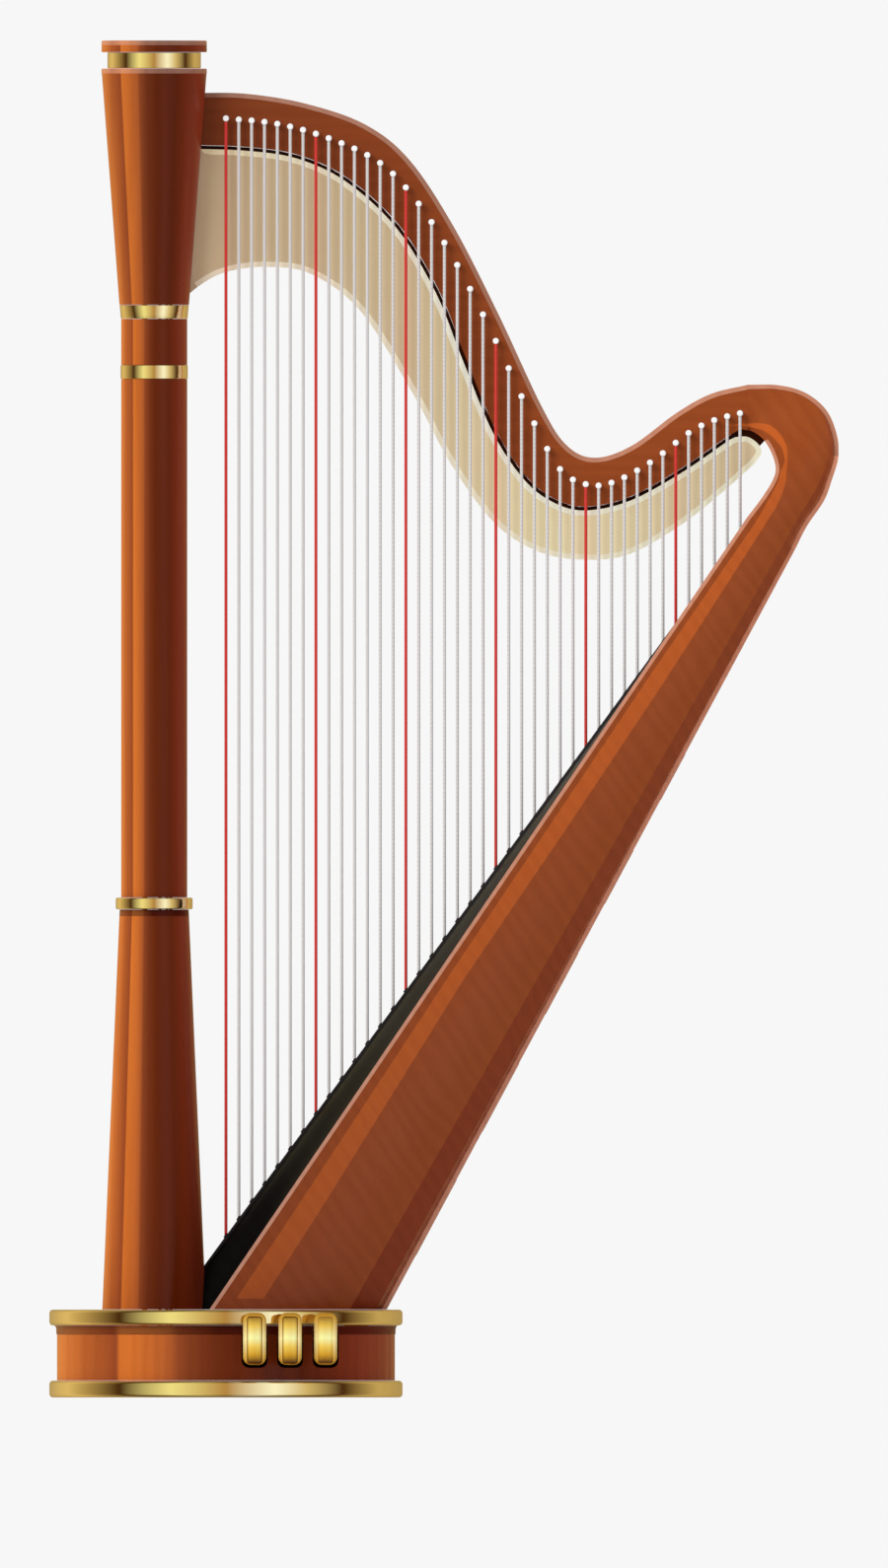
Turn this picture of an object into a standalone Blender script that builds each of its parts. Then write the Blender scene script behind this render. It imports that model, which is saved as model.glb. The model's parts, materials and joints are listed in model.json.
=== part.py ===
"""Concert harp: separate named pieces, in metres, standing on z = 0 with +X towards the player.

The column stands on the round base, the neck springs from its capital, and the hollow soundbox rises
from the base to the shoulder that joins it to the neck. Each lever and cap has its origin on its hinge,
and each rod on its own line.
"""

import math

import bmesh
import bpy
from mathutils import Matrix, Vector

NAME = "concert_harp"
GAP = 0.0003                 # air between neighbouring pieces

# Overall stations
HEIGHT = 1.8000
COLUMN_X = -0.3842
BASE_X = -0.2891

# Base drum
DRUM_SEGMENTS = 56
MOULDING_R = 0.2341
MOULDING_H = 0.0222
MOULDING_ROUND = 0.0045
WALL_R = 0.2240
WALL_T = 0.0100
DECK_R = 0.2183
DECK_Z = 0.0955
DECK_TOP = 0.1164
BRACE_X, BRACE_HALF_T = (0.0000, 0.2070), 0.0040   # the brace's two ends, measured from BASE_X

# Column
COLUMN_SEGMENTS = 32
BORE_R = 0.0260
FOOT_R, FOOT_TOP_R, FOOT_TOP_Z = 0.0690, 0.0458, 0.6472
FOOT_RING_R, FOOT_RING_TOP = 0.0510, 0.6629
SHAFT_R, SHAFT_TOP = 0.0438, 1.4307
SHAFT_RING_R, SHAFT_RING_Z0, SHAFT_RING_Z1 = 0.0445, 1.3512, 1.3692
GROOVE_R = 0.0415
CAPITAL_RING_R, CAPITAL_Z = 0.0458, 1.4493
CAPITAL_R, CAPITAL_LIP, CAPITAL_TOP = 0.0698, 0.0065, 1.7626
CROWN_RING_R, CROWN_RING_TOP = 0.0620, 1.7841
CROWN_R = 0.0698

# Soundbox: s runs up the edge of the soundboard, n runs back from it
EDGE_FOOT = Vector((-0.3113, 0.0, 0.1164))
ALONG = Vector((0.5615, 0.0, 0.8275)).normalized()
BACK = Vector((ALONG.z, 0.0, -ALONG.x))
BOX_TOP_S = 1.2700
BOX_DEPTH = (0.2084, 0.1038)       # depth at s = 0, and what it loses each metre
BOX_HALF = (0.1650, 0.0822)        # half width at s = 0, and what it loses each metre
BOX_WALL = 0.0060
BOX_SECTION = ((0.0, 1.0), (0.105, 1.0), (0.245, 0.985), (0.52, 0.90), (0.78, 0.74), (0.93, 0.52), (1.0, 0.30))
BOARD_T = 0.0035
BOARD_EDGE = (0.0026, 0.0055)      # how far the board's edge sits behind the box's lip, and its gain each metre
BOARD_ARCH = ((0.06, 1.0), (0.30, 0.90), (0.55, 0.66), (0.80, 0.30), (1.0, 0.0))
RIDGE = (-0.0401, 0.0364)          # front of the string rib, and its gain each metre
RIB_T, RIB_HALF = 0.0040, 0.0050
SLOT_HALF = 0.0023
FOOT_BLOCK_H = 0.0250
FORMERS = (0.45, 0.85)
SOUND_HOLES = ((0.27, 0.056), (0.45, 0.050), (0.62, 0.044), (0.78, 0.038), (0.93, 0.032))

# Neck, seen from the side as (x, z)
NECK_Y = (0.0100, 0.0540)
NECK_TOP = (
    (-0.3335, 1.7305), (-0.2616, 1.7292), (-0.1831, 1.7161), (-0.1046, 1.6886), (-0.0458, 1.6415),
    (0.0131, 1.5526), (0.0719, 1.4375), (0.1308, 1.3119), (0.1635, 1.2622), (0.2001, 1.2465),
    (0.2485, 1.2622), (0.3074, 1.3054), (0.3532, 1.3309), (0.4026, 1.3433),
)
NECK_BOTTOM = (
    (-0.3335, 1.6612), (-0.2616, 1.6585), (-0.1936, 1.6481), (-0.1269, 1.6167), (-0.0589, 1.5539),
    (-0.0065, 1.4676), (0.0275, 1.3826), (0.0693, 1.2818), (0.1125, 1.2177), (0.1543, 1.1883),
    (0.1936, 1.1818), (0.2485, 1.1955), (0.3165, 1.2334), (0.3846, 1.2798), (0.4026, 1.2831),
)
PLATE_BOTTOM = (
    (-0.3520, 1.4508), (-0.3270, 1.4728), (-0.2904, 1.4924), (-0.2354, 1.4996), (-0.1753, 1.4898),
    (-0.1099, 1.4401), (-0.0419, 1.3329), (0.0105, 1.2361), (0.0693, 1.1576), (0.1295, 1.1203),
    (0.1923, 1.1111), (0.2485, 1.1196), (0.3165, 1.1589), (0.3675, 1.1994), (0.4110, 1.2380),
)
PLATE_END = ((0.4195, 1.2475), (0.4205, 1.2580), (0.4130, 1.2680), (0.4010, 1.2745), (0.3865, 1.2738))
PLATE_T = 0.0040
PLATE_SET_BACK = 0.0025            # the plate's face behind the neck's face
SHADOW_GAP = 0.0050                # dark line between the neck's edge and the plate
CORE_INSET = 0.0080
WEDGE, WEDGE_GAP = (2, 3, 4), Vector((-0.0006, -0.0008))   # points of the shoulder that the core's wedge follows

# Shoulder, as pairs of (x, z): inside of the bend, outside of the bend
SHOULDER = (
    ((0.4212, 1.1930), (0.4813, 1.1560)), ((0.4343, 1.2138), (0.5036, 1.1890)),
    ((0.4395, 1.2282), (0.5140, 1.2164)), ((0.4382, 1.2413), (0.5232, 1.2491)),
    ((0.4329, 1.2557), (0.5199, 1.2805)), ((0.4251, 1.2688), (0.5062, 1.3106)),
    ((0.4170, 1.2765), (0.4787, 1.3329)), ((0.4095, 1.2810), (0.4434, 1.3427)),
    ((0.4029, 1.2831), (0.4029, 1.3433)),
)

# Strings
STRINGS, PER_OCTAVE = 41, 7
STRING_X0, STRING_STEP = -0.2891, 0.01704
STRING_R_BASS, STRING_R_TREBLE = 0.0017, 0.0011
COIL_R, COIL_FRONT = 0.0046, -0.0046
RAIL_HALF, RAIL_T = 0.0060, 0.0050
PIN_LINE = (
    (-0.2891, 1.6965), (-0.2211, 1.6893), (-0.1530, 1.6703), (-0.0850, 1.6376), (-0.0340, 1.5840),
    (0.0183, 1.5009), (0.0693, 1.4002), (0.1203, 1.2910), (0.1543, 1.2308), (0.1884, 1.2112),
    (0.2224, 1.2132), (0.2734, 1.2400), (0.3244, 1.2792), (0.3584, 1.2962), (0.3924, 1.3054),
)

# Pedals: letter, angle of its rod round the column, cap offset from the drum's middle, cap's inner face, side
PEDALS = (
    ("d", -130.0, 0.0380, 0.2440, -1), ("c", -70.0, 0.0851, 0.2345, -1), ("b", -40.0, 0.1321, 0.2145, -1),
    ("e", 0.0, 0.1730, 0.1900, 1), ("f", 40.0, 0.1321, 0.2145, 1), ("g", 70.0, 0.0851, 0.2345, 1),
    ("a", 120.0, 0.0380, 0.2440, 1),
)
ROD_CIRCLE, ROD_R, ROD_Z0, ROD_Z1 = 0.0220, 0.0020, 0.0830, 1.7000
ARM = 0.0450                       # from a rod to its lever's hinge
LEVER_Z, LEVER_W, LEVER_H = 0.0778, 0.0070, 0.0080
LEVER_TAIL = 0.0030
KNEE_INSIDE = 0.0500               # from the cap's inner face to the bend in the lever
TRUNNION_R, TRUNNION_HALF = 0.0030, 0.0077
BRACKET_R0, BRACKET_R1, BRACKET_H = 0.0400, 0.0840, 0.0080
EAR_TOP, EAR_HALF, EAR_LENGTH = 0.0835, 0.0084, 0.0120
SLOT_W, SLOT_Z0, SLOT_Z1, SLOT_ROUND = 0.0344, 0.0392, 0.0900, 0.0095
CAP_W, CAP_H, CAP_T, CAP_ROUND = 0.0308, 0.0690, 0.0150, 0.0102
SPRING_OUT, SPRING_R, SPRING_WIRE, SPRING_TURNS = 0.0700, 0.0075, 0.0015, 4

WOOD = (0.20, 0.065, 0.025, 1.0)
DARK_WOOD = (0.09, 0.03, 0.015, 1.0)
PALE_WOOD = (0.45, 0.27, 0.13, 1.0)
BLACK = (0.012, 0.012, 0.012, 1.0)
GOLD = (0.75, 0.50, 0.16, 1.0)
BRASS = (0.62, 0.50, 0.32, 1.0)
STEEL = (0.45, 0.45, 0.46, 1.0)
GUT = (0.62, 0.60, 0.58, 1.0)


def collections():
    for obj in list(bpy.data.objects):
        bpy.data.objects.remove(obj, do_unlink=True)
    parts = bpy.data.collections.new(NAME)
    cutters = bpy.data.collections.new(NAME + "_cutters")
    for made in (parts, cutters):
        bpy.context.scene.collection.children.link(made)
    cutters.hide_render = True
    return parts, cutters


PARTS, CUTTERS = collections()


def finish(obj, color, metal=0.0, rough=0.4):
    material = bpy.data.materials.new(obj.name)
    material.use_nodes = True
    shader = material.node_tree.nodes["Principled BSDF"]
    shader.inputs["Base Color"].default_value = color
    shader.inputs["Metallic"].default_value = metal
    shader.inputs["Roughness"].default_value = rough
    obj.data.materials.clear()
    obj.data.materials.append(material)
    return obj


def link(obj, cutter=False):
    (CUTTERS if cutter else PARTS).objects.link(obj)
    if cutter:
        obj.hide_render = True
        obj.display_type = "WIRE"
    return obj


def from_bmesh(name, bm, cutter=False):
    bmesh.ops.recalc_face_normals(bm, faces=bm.faces)
    mesh = bpy.data.meshes.new(name)
    bm.to_mesh(mesh)
    bm.free()
    return link(bpy.data.objects.new(name, mesh), cutter)


def turned(name, profile, x, segments, cutter=False):
    """A closed (radius, z) profile turned about a vertical axis at x; radius 0 ends lie on the axis."""
    bm = bmesh.new()
    ring = [bm.verts.new((r, 0.0, z)) for r, z in profile]
    open_ends = profile[0][0] == 0.0 and profile[-1][0] == 0.0
    count = len(ring) - 1 if open_ends else len(ring)
    edges = [bm.edges.new((ring[i], ring[(i + 1) % len(ring)])) for i in range(count)]
    bmesh.ops.spin(
        bm, geom=ring + edges, cent=(0, 0, 0), axis=(0, 0, 1), angle=math.tau,
        steps=segments, use_merge=True, use_duplicate=False,
    )
    bmesh.ops.remove_doubles(bm, verts=bm.verts, dist=1e-6)
    bmesh.ops.translate(bm, verts=bm.verts, vec=(x, 0, 0))
    return from_bmesh(name, bm, cutter)


def loft(name, rings, cutter=False, strip=False):
    """Skin over closed rings of equal length. A strip's ring runs out and back, so its end caps are quads."""
    bm = bmesh.new()
    rows = [[bm.verts.new(p) for p in ring] for ring in rings]
    count = len(rows[0])
    for low, high in zip(rows, rows[1:]):
        for i in range(count):
            j = (i + 1) % count
            bm.faces.new((low[i], low[j], high[j], high[i]))
    for row in (rows[0], rows[-1]):
        if strip:
            for i in range(count // 2 - 1):
                bm.faces.new((row[i], row[i + 1], row[count - 2 - i], row[count - 1 - i]))
        else:
            bmesh.ops.triangulate(bm, faces=[bm.faces.new(row)])
    return from_bmesh(name, bm, cutter)


def smooth(points, steps=3):
    """Points of a Catmull-Rom curve through the given ones."""
    out = []
    pts = [Vector(p) for p in points]
    pts = [2 * pts[0] - pts[1]] + pts + [2 * pts[-1] - pts[-2]]
    for a, b, c, d in zip(pts, pts[1:], pts[2:], pts[3:]):
        for k in range(steps):
            t = k / steps
            out.append(0.5 * (2 * b + (c - a) * t + (2 * a - 5 * b + 4 * c - d) * t * t
                              + (3 * b - a - 3 * c + d) * t ** 3))
    return out + [pts[-2]]


def shifted(points, distance):
    """The same line moved sideways, to the right of its direction."""
    out = []
    for i, p in enumerate(points):
        run = (points[min(i + 1, len(points) - 1)] - points[max(i - 1, 0)]).normalized()
        out.append(p + Vector((run.y, -run.x)) * distance)
    return out


def rounded_outline(x, half, z0, z1, low_round, top_round, steps=3):
    """An upright (x, z) rectangle with rounded corners; a round of 0 leaves the corners square."""
    points = []
    for corner, (side, z, r) in enumerate(((1, z1, top_round), (-1, z1, top_round), (-1, z0, low_round),
                                           (1, z0, low_round))):
        middle = Vector((x + side * (half - r), z + (-r if corner < 2 else r)))
        for i in range(steps + 1 if r else 1):
            a = math.radians(90 * corner + 90 * i / steps)
            points.append(middle + Vector((math.cos(a), math.sin(a))) * r)
    return points


def flat(name, outline, y0, y1, cutter=False):
    """An (x, z) outline made a plate from y0 to y1."""
    return loft(name, [[(p[0], y, p[1]) for p in outline] for y in (y0, y1)], cutter)


def plan(name, outline, z0, z1, cutter=False):
    """An (x, y) outline made a plate from z0 to z1."""
    return loft(name, [[(p[0], p[1], z) for p in outline] for z in (z0, z1)], cutter)


def set_origin(obj, point):
    """Moves the object's origin to a point and leaves its shape where it is."""
    point = Vector(point)
    obj.data.transform(Matrix.Translation(-point))
    obj.location = point
    return obj


def rod(bm, start, end, radius, segments):
    """Adds a straight round bar between two points."""
    start, end = Vector(start), Vector(end)
    made = bmesh.ops.create_cone(
        bm, cap_ends=True, segments=segments, radius1=radius, radius2=radius, depth=(end - start).length,
    )
    turn = Vector((0, 0, 1)).rotation_difference(end - start).to_matrix().to_4x4()
    bmesh.ops.transform(bm, matrix=Matrix.Translation((start + end) / 2) @ turn, verts=made["verts"])


def rods(name, spans, segments, cutter=False):
    bm = bmesh.new()
    for start, end, radius in spans:
        rod(bm, start, end, radius, segments)
    return from_bmesh(name, bm, cutter)


def box(name, middle, along, half, cutter=False):
    """A box round a middle point: half = (along, across, up), along = its level direction."""
    bm = bmesh.new()
    made = bmesh.ops.create_cube(bm, size=2.0)
    along = Vector(along).normalized()
    turn = Matrix((along, Vector((-along.y, along.x, 0)), Vector((0, 0, 1)))).transposed().to_4x4()
    scale = Matrix.Diagonal((*half, 1.0))
    bmesh.ops.transform(bm, matrix=Matrix.Translation(middle) @ turn @ scale, verts=made["verts"])
    return from_bmesh(name, bm, cutter)


def boolean(obj, other, operation="DIFFERENCE"):
    modifier = obj.modifiers.new(operation.title(), "BOOLEAN")
    modifier.solver = "EXACT"
    modifier.operation = operation
    modifier.object = other
    return obj


def baked(obj):
    """Turns the object's modifiers into mesh."""
    bpy.context.view_layer.update()
    mesh = bpy.data.meshes.new_from_object(obj.evaluated_get(bpy.context.evaluated_depsgraph_get()))
    obj.modifiers.clear()
    obj.data = mesh
    return obj


# Base

def moulding(name, z0, z1):
    r_in, o, c = DECK_R + GAP, MOULDING_R, MOULDING_ROUND
    profile = (
        (r_in, z1), (o - c, z1), (o - 0.3 * c, z1 - 0.3 * c), (o, z1 - c),
        (o, z0 + c), (o - 0.3 * c, z0 + 0.3 * c), (o - c, z0), (r_in, z0),
    )
    return finish(turned(name, profile, BASE_X, DRUM_SEGMENTS), GOLD, 1.0, 0.25)


def cap_place(pedal):
    _, _, dx, face, side = pedal
    return Vector((BASE_X + dx, side * face, LEVER_Z))


def base():
    moulding("base_bottom_moulding", 0.0, MOULDING_H)
    profile = ((0.0, MOULDING_H), (DECK_R, MOULDING_H), (DECK_R, 0.0), (0.0, 0.0))
    finish(turned("base_floor", profile, BASE_X, DRUM_SEGMENTS), DARK_WOOD)
    z0, z1 = MOULDING_H + GAP, DECK_Z - GAP
    profile = ((WALL_R - WALL_T, z1), (WALL_R, z1), (WALL_R, z0), (WALL_R - WALL_T, z0))
    wall = turned("base_wall", profile, BASE_X, DRUM_SEGMENTS)
    for pedal in PEDALS:
        cap = cap_place(pedal)
        outline = rounded_outline(cap.x, SLOT_W / 2, SLOT_Z0, SLOT_Z1, SLOT_ROUND, 0.0)
        inner, outer = sorted((cap.y - pedal[4] * 0.095, cap.y + pedal[4] * 0.010))
        boolean(wall, flat("cut_slot_" + pedal[0], outline, inner, outer, cutter=True))
    finish(wall, WOOD)
    deck = turned("base_deck", ((0.0, DECK_TOP), (DECK_R, DECK_TOP), (DECK_R, DECK_Z), (0.0, DECK_Z)),
                  BASE_X, DRUM_SEGMENTS)
    hole = rods("cut_deck", [((COLUMN_X, 0, DECK_Z - 0.01), (COLUMN_X, 0, DECK_TOP + 0.01), BORE_R + 0.001)],
                COLUMN_SEGMENTS, cutter=True)
    finish(boolean(deck, hole), DARK_WOOD)
    moulding("base_top_moulding", DECK_Z, DECK_TOP)
    middle = (BASE_X + sum(BRACE_X) / 2, 0.0, (z0 + z1) / 2)
    half = ((BRACE_X[1] - BRACE_X[0]) / 2, BRACE_HALF_T, (z1 - z0) / 2)
    finish(box("base_brace", middle, (1, 0, 0), half), DARK_WOOD)


# Column

def column_piece(name, outside, color, metal=0.0, rough=0.35, bore=BORE_R):
    """A turned piece of the column: outside = (radius, z) from top to bottom."""
    profile = ((bore, outside[0][1]),) + tuple(outside) + ((bore, outside[-1][1]),)
    if bore == 0.0:
        profile = ((0.0, outside[0][1]),) + tuple(outside) + ((0.0, outside[-1][1]),)
    return finish(turned(name, profile, COLUMN_X, COLUMN_SEGMENTS), color, metal, rough)


def column():
    g = GAP
    column_piece("column_foot", ((FOOT_TOP_R, FOOT_TOP_Z), (FOOT_R, DECK_TOP + g)), WOOD)
    column_piece("foot_ring", ((FOOT_RING_R - 0.002, FOOT_RING_TOP), (FOOT_RING_R, FOOT_RING_TOP - 0.003),
                               (FOOT_RING_R, FOOT_TOP_Z + g)), GOLD, 1.0, 0.25)
    z0, z1 = SHAFT_RING_Z0 - g, SHAFT_RING_Z1 + g
    column_piece("column_shaft", ((SHAFT_R, SHAFT_TOP), (SHAFT_R, z1), (GROOVE_R, z1), (GROOVE_R, z0),
                                  (SHAFT_R, z0), (SHAFT_R, FOOT_RING_TOP + g)), WOOD)
    column_piece("shaft_ring", ((SHAFT_RING_R, SHAFT_RING_Z1), (SHAFT_RING_R, SHAFT_RING_Z0)),
                 GOLD, 1.0, 0.25, bore=GROOVE_R + g)
    column_piece("capital_ring", ((CAPITAL_RING_R, CAPITAL_Z - g), (CAPITAL_RING_R - 0.0016, SHAFT_TOP + g)),
                 GOLD, 1.0, 0.25)
    column_piece("column_capital", ((CAPITAL_R, CAPITAL_TOP), (CAPITAL_R, CAPITAL_TOP - CAPITAL_LIP),
                                    (FOOT_TOP_R, CAPITAL_Z)), WOOD)
    column_piece("crown_ring", ((CROWN_RING_R, CROWN_RING_TOP), (CROWN_RING_R, CAPITAL_TOP + g)),
                 GOLD, 1.0, 0.25, bore=0.0)
    column_piece("crown_cap", ((CROWN_R - 0.0015, HEIGHT), (CROWN_R, HEIGHT - 0.0015),
                               (CROWN_R, CROWN_RING_TOP + g)), WOOD, bore=0.0)


def capital_clearance():
    g = 2 * GAP
    profile = ((0.0, CAPITAL_TOP + 0.01), (CAPITAL_R + g, CAPITAL_TOP + 0.01), (CAPITAL_R + g, CAPITAL_TOP
               - CAPITAL_LIP), (FOOT_TOP_R + g, CAPITAL_Z), (FOOT_TOP_R + g, SHAFT_TOP), (0.0, SHAFT_TOP))
    return turned("cut_capital", profile, COLUMN_X, COLUMN_SEGMENTS, cutter=True)


def foot_clearance():
    g = 2 * GAP
    profile = ((0.0, FOOT_TOP_Z), (FOOT_TOP_R + g, FOOT_TOP_Z), (FOOT_R + g, DECK_TOP), (FOOT_R + g, 0.09),
               (0.0, 0.09))
    return turned("cut_foot", profile, COLUMN_X, COLUMN_SEGMENTS, cutter=True)


def column_edge(z, y):
    """The x of the capital's side at a height, just clear of it, in the upright plane at y."""
    share = (z - CAPITAL_Z) / (CAPITAL_TOP - CAPITAL_LIP - CAPITAL_Z)
    r = FOOT_TOP_R + (CAPITAL_R - FOOT_TOP_R) * max(share, 0.0) + 2 * GAP
    return COLUMN_X + math.sqrt(max(r * r - y * y, 0.01 ** 2))


def clear_of_column(points, y):
    return [p for p in points if p.x > column_edge(p.y, y) + 0.002]


# Neck, plates and shoulder

def neck():
    cutter = capital_clearance()
    top, bottom = smooth(NECK_TOP), smooth(NECK_BOTTOM)
    body = flat("neck", top + bottom[::-1], *NECK_Y)
    finish(boolean(body, cutter), WOOD)
    plate_bottom, plate_end = smooth(PLATE_BOTTOM), smooth(PLATE_END, 2)
    plate_top = [p for p in shifted(bottom, SHADOW_GAP) if p.x < PLATE_END[-1][0] - 0.006]
    y0 = NECK_Y[0] + PLATE_SET_BACK
    y1 = NECK_Y[1] - PLATE_SET_BACK
    for name, low in (("action_plate_left", y0), ("action_plate_right", y1 - PLATE_T)):
        lower, upper = clear_of_column(plate_bottom, low), clear_of_column(plate_top, low)
        end = [Vector((column_edge(z, low), z)) for z in
               (upper[0].y + (lower[0].y - upper[0].y) * i / 4 for i in range(5))]
        outline = lower + plate_end + upper[::-1] + end
        finish(flat(name, outline, low, low + PLATE_T), BRASS, 1.0, 0.4)
    # The core's end runs on as a wedge between the plate's rounded end and the inside of the shoulder.
    core_top = shifted(bottom, GAP)[:-1] + [Vector(SHOULDER[-i][0]) + WEDGE_GAP for i in WEDGE]
    core_bottom = shifted(plate_bottom, -CORE_INSET)[:-2]
    core = flat("action_core", core_bottom + core_top[::-1], y0 + PLATE_T + GAP, y1 - PLATE_T - GAP)
    finish(boolean(core, cutter), DARK_WOOD)


def half_width(s):
    return BOX_HALF[0] - BOX_HALF[1] * s


def shoulder():
    s = BOX_TOP_S + GAP
    first = EDGE_FOOT + ALONG * s
    last = first + BACK * (BOX_DEPTH[0] - BOX_DEPTH[1] * s)
    pairs = [((first.x, first.z), (last.x, last.z))] + list(SHOULDER)
    inside = smooth([p[0] for p in pairs], 2)
    outside = smooth([p[1] for p in pairs], 2)
    rings = []
    for i, (a, b) in enumerate(zip(inside, outside)):
        t = i / (len(inside) - 1)
        t = t * t * (3 - 2 * t)
        w = half_width(s)
        left, right = [], []
        for f, m in BOX_SECTION:
            p = a.lerp(b, f)
            left.append((p.x, (1 - t) * -m * w + t * NECK_Y[0], p.y))
            right.append((p.x, (1 - t) * m * w + t * NECK_Y[1], p.y))
        rings.append(left + right[::-1])
    finish(loft("shoulder", rings), WOOD)


# Soundbox

def at(s, n, y):
    p = EDGE_FOOT + ALONG * s + BACK * n
    return Vector((p.x, y, p.z))


def at_height(point, z):
    """Where the straight line that point(s) draws crosses the height z."""
    a, b = point(0.0), point(1.0)
    return a.lerp(b, (z - a.z) / (b.z - a.z))


def box_line(f, m, side, thick):
    def point(s):
        depth = BOX_DEPTH[0] - BOX_DEPTH[1] * s
        return at(s, f * (depth - thick), side * m * (half_width(s) - thick))
    return point


def box_ring(outer, inner, where, section=BOX_SECTION):
    """A C-shaped ring, open at the soundboard; where(line) gives each line's point."""
    ring = [where(box_line(f, m, -1, outer)) for f, m in section]
    ring += [where(box_line(f, m, 1, outer)) for f, m in section[::-1]]
    ring += [where(box_line(f, m, 1, inner)) for f, m in section]
    ring += [where(box_line(f, m, -1, inner)) for f, m in section[::-1]]
    return ring


def ridge(s):
    return RIDGE[0] + RIDGE[1] * s


def board_line(v, arch, side, thick):
    def point(s):
        edge = BOARD_EDGE[0] + BOARD_EDGE[1] * s
        n = edge + arch * (ridge(s) + RIB_T - edge) + thick
        return at(s, n, side * v * (half_width(s) - BOX_WALL - 3 * GAP))
    return point


def soundbox():
    z = DECK_TOP + GAP
    shell = loft("soundbox_back", [box_ring(0.0, BOX_WALL, lambda line: at_height(line, z)),
                                   box_ring(0.0, BOX_WALL, lambda line: line(BOX_TOP_S))], strip=True)
    for i, (s, r) in enumerate(SOUND_HOLES):
        depth = BOX_DEPTH[0] - BOX_DEPTH[1] * s
        bm = bmesh.new()
        rod(bm, at(s, depth - 0.03, 0), at(s, depth + 0.03, 0), 0.62 * r, 16)
        middle = at(s, depth, 0)
        stretch = Matrix.Scale(1.5, 4, ALONG)
        bmesh.ops.transform(bm, matrix=Matrix.Translation(middle) @ stretch @ Matrix.Translation(-middle),
                            verts=bm.verts)
        boolean(shell, from_bmesh(f"cut_sound_hole_{i + 1}", bm, cutter=True))
    finish(shell, WOOD)

    front = [(v, a, -1) for v, a in BOARD_ARCH[::-1]] + [(v, a, 1) for v, a in BOARD_ARCH]

    def board_ring(where):
        ring = [where(board_line(v, a, side, 0.0)) for v, a, side in front]
        return ring + [where(board_line(v, a, side, BOARD_T)) for v, a, side in front[::-1]]
    board = loft("soundboard", [board_ring(lambda line: at_height(line, z)),
                                board_ring(lambda line: line(BOX_TOP_S - GAP))], strip=True)

    def bar(name, s0, s1, half, low, high, cutter=False):
        """A bar up the middle of the board, between two depths measured from the ridge."""
        rings = [[at(s, ridge(s) + n, y) for n, y in ((low, -half), (low, half), (high, half), (high, -half))]
                 for s in (s0, s1)]
        return loft(name, rings, cutter)
    foot = foot_clearance()
    first = (STRING_X0 - EDGE_FOOT.x) / ALONG.x
    last = BOX_TOP_S - 0.004
    boolean(board, bar("cut_board_slot", first + 0.010, last, SLOT_HALF, -0.02, 0.03, cutter=True))
    finish(boolean(board, foot), BLACK, 0.0, 0.2)
    rib = bar("string_rib", 0.0, BOX_TOP_S - 0.001, RIB_HALF, 0.0, RIB_T - GAP)
    boolean(rib, bar("cut_rib_slot", first + 0.012, last - 0.002, SLOT_HALF - 0.0001, -0.01, 0.02, cutter=True))
    finish(boolean(rib, foot), BLACK, 0.0, 0.4)

    inner = BOX_WALL + 3 * GAP
    lines = [box_line(f, m, -1, inner) for f, m in BOX_SECTION]
    lines += [box_line(f, m, 1, inner) for f, m in BOX_SECTION[::-1]]

    def solid(height):
        ring = [at_height(line, height) for line in lines]
        shift = Vector((BOARD_T + BOARD_EDGE[0] + 0.003, 0, 0))
        return [ring[0] + shift] + ring[1:-1] + [ring[-1] + shift]
    finish(loft("soundbox_foot_block", [solid(z), solid(z + FOOT_BLOCK_H)]), PALE_WOOD)
    inner = BOX_WALL + 2 * GAP
    for i, s in enumerate(FORMERS):
        shift = BACK * 0.004
        rings = []
        for station in (s, s + 0.010):
            ring = box_ring(inner, inner + 0.014, lambda line, at_s=station: line(at_s), BOX_SECTION[1:])
            for j in (0, 11, 12, 23):
                ring[j] = ring[j] + shift
            rings.append(ring)
        finish(loft(f"soundbox_former_{i + 1}", rings, strip=True), PALE_WOOD)
    return bar


# Strings

def pin_height(x):
    line = smooth(PIN_LINE, 6)
    x = max(x, line[0].x)
    for a, b in zip(line, line[1:]):
        if a.x <= x <= b.x:
            return a.y + (b.y - a.y) * (x - a.x) / (b.x - a.x)
    return line[-1].y


def strings(bar):
    for octave in range(math.ceil(STRINGS / PER_OCTAVE)):
        numbers = range(octave * PER_OCTAVE, min((octave + 1) * PER_OCTAVE, STRINGS))
        wires, coils, foot = [], [], []
        for k in numbers:
            x = STRING_X0 + STRING_STEP * k
            low, high = RIB_T + BOARD_T + GAP, RIB_T + BOARD_T + GAP + RAIL_T
            # The string stands upright, so it meets the slanting rail where the rail's middle has its x.
            s = (x - EDGE_FOOT.x - BACK.x * (RIDGE[0] + (low + high) / 2)) / (ALONG.x + BACK.x * RIDGE[1])
            foot.append(s)
            z0 = at(s, ridge(s) + (low + high) / 2, 0).z
            r = STRING_R_BASS + (STRING_R_TREBLE - STRING_R_BASS) * k / (STRINGS - 1)
            z1 = pin_height(x)
            wires.append(((x, 0, z0), (x, 0, z1), r))
            coils.append(((x, COIL_FRONT, z1), (x, NECK_Y[0] - GAP, z1), COIL_R))
        name = f"strings_octave_{octave + 1}"
        reach = 0.012 if octave < STRINGS // PER_OCTAVE else 0.006
        rail = bar(name, foot[0] - 0.012, foot[-1] + reach, RAIL_HALF, low, high)
        boolean(rail, rods(f"tool_wires_{octave + 1}", wires, 6, cutter=True), "UNION")
        boolean(rail, rods(f"tool_coils_{octave + 1}", coils, 8, cutter=True), "UNION")
        finish(rail, GUT, 0.0, 0.5)


# Pedals

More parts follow.
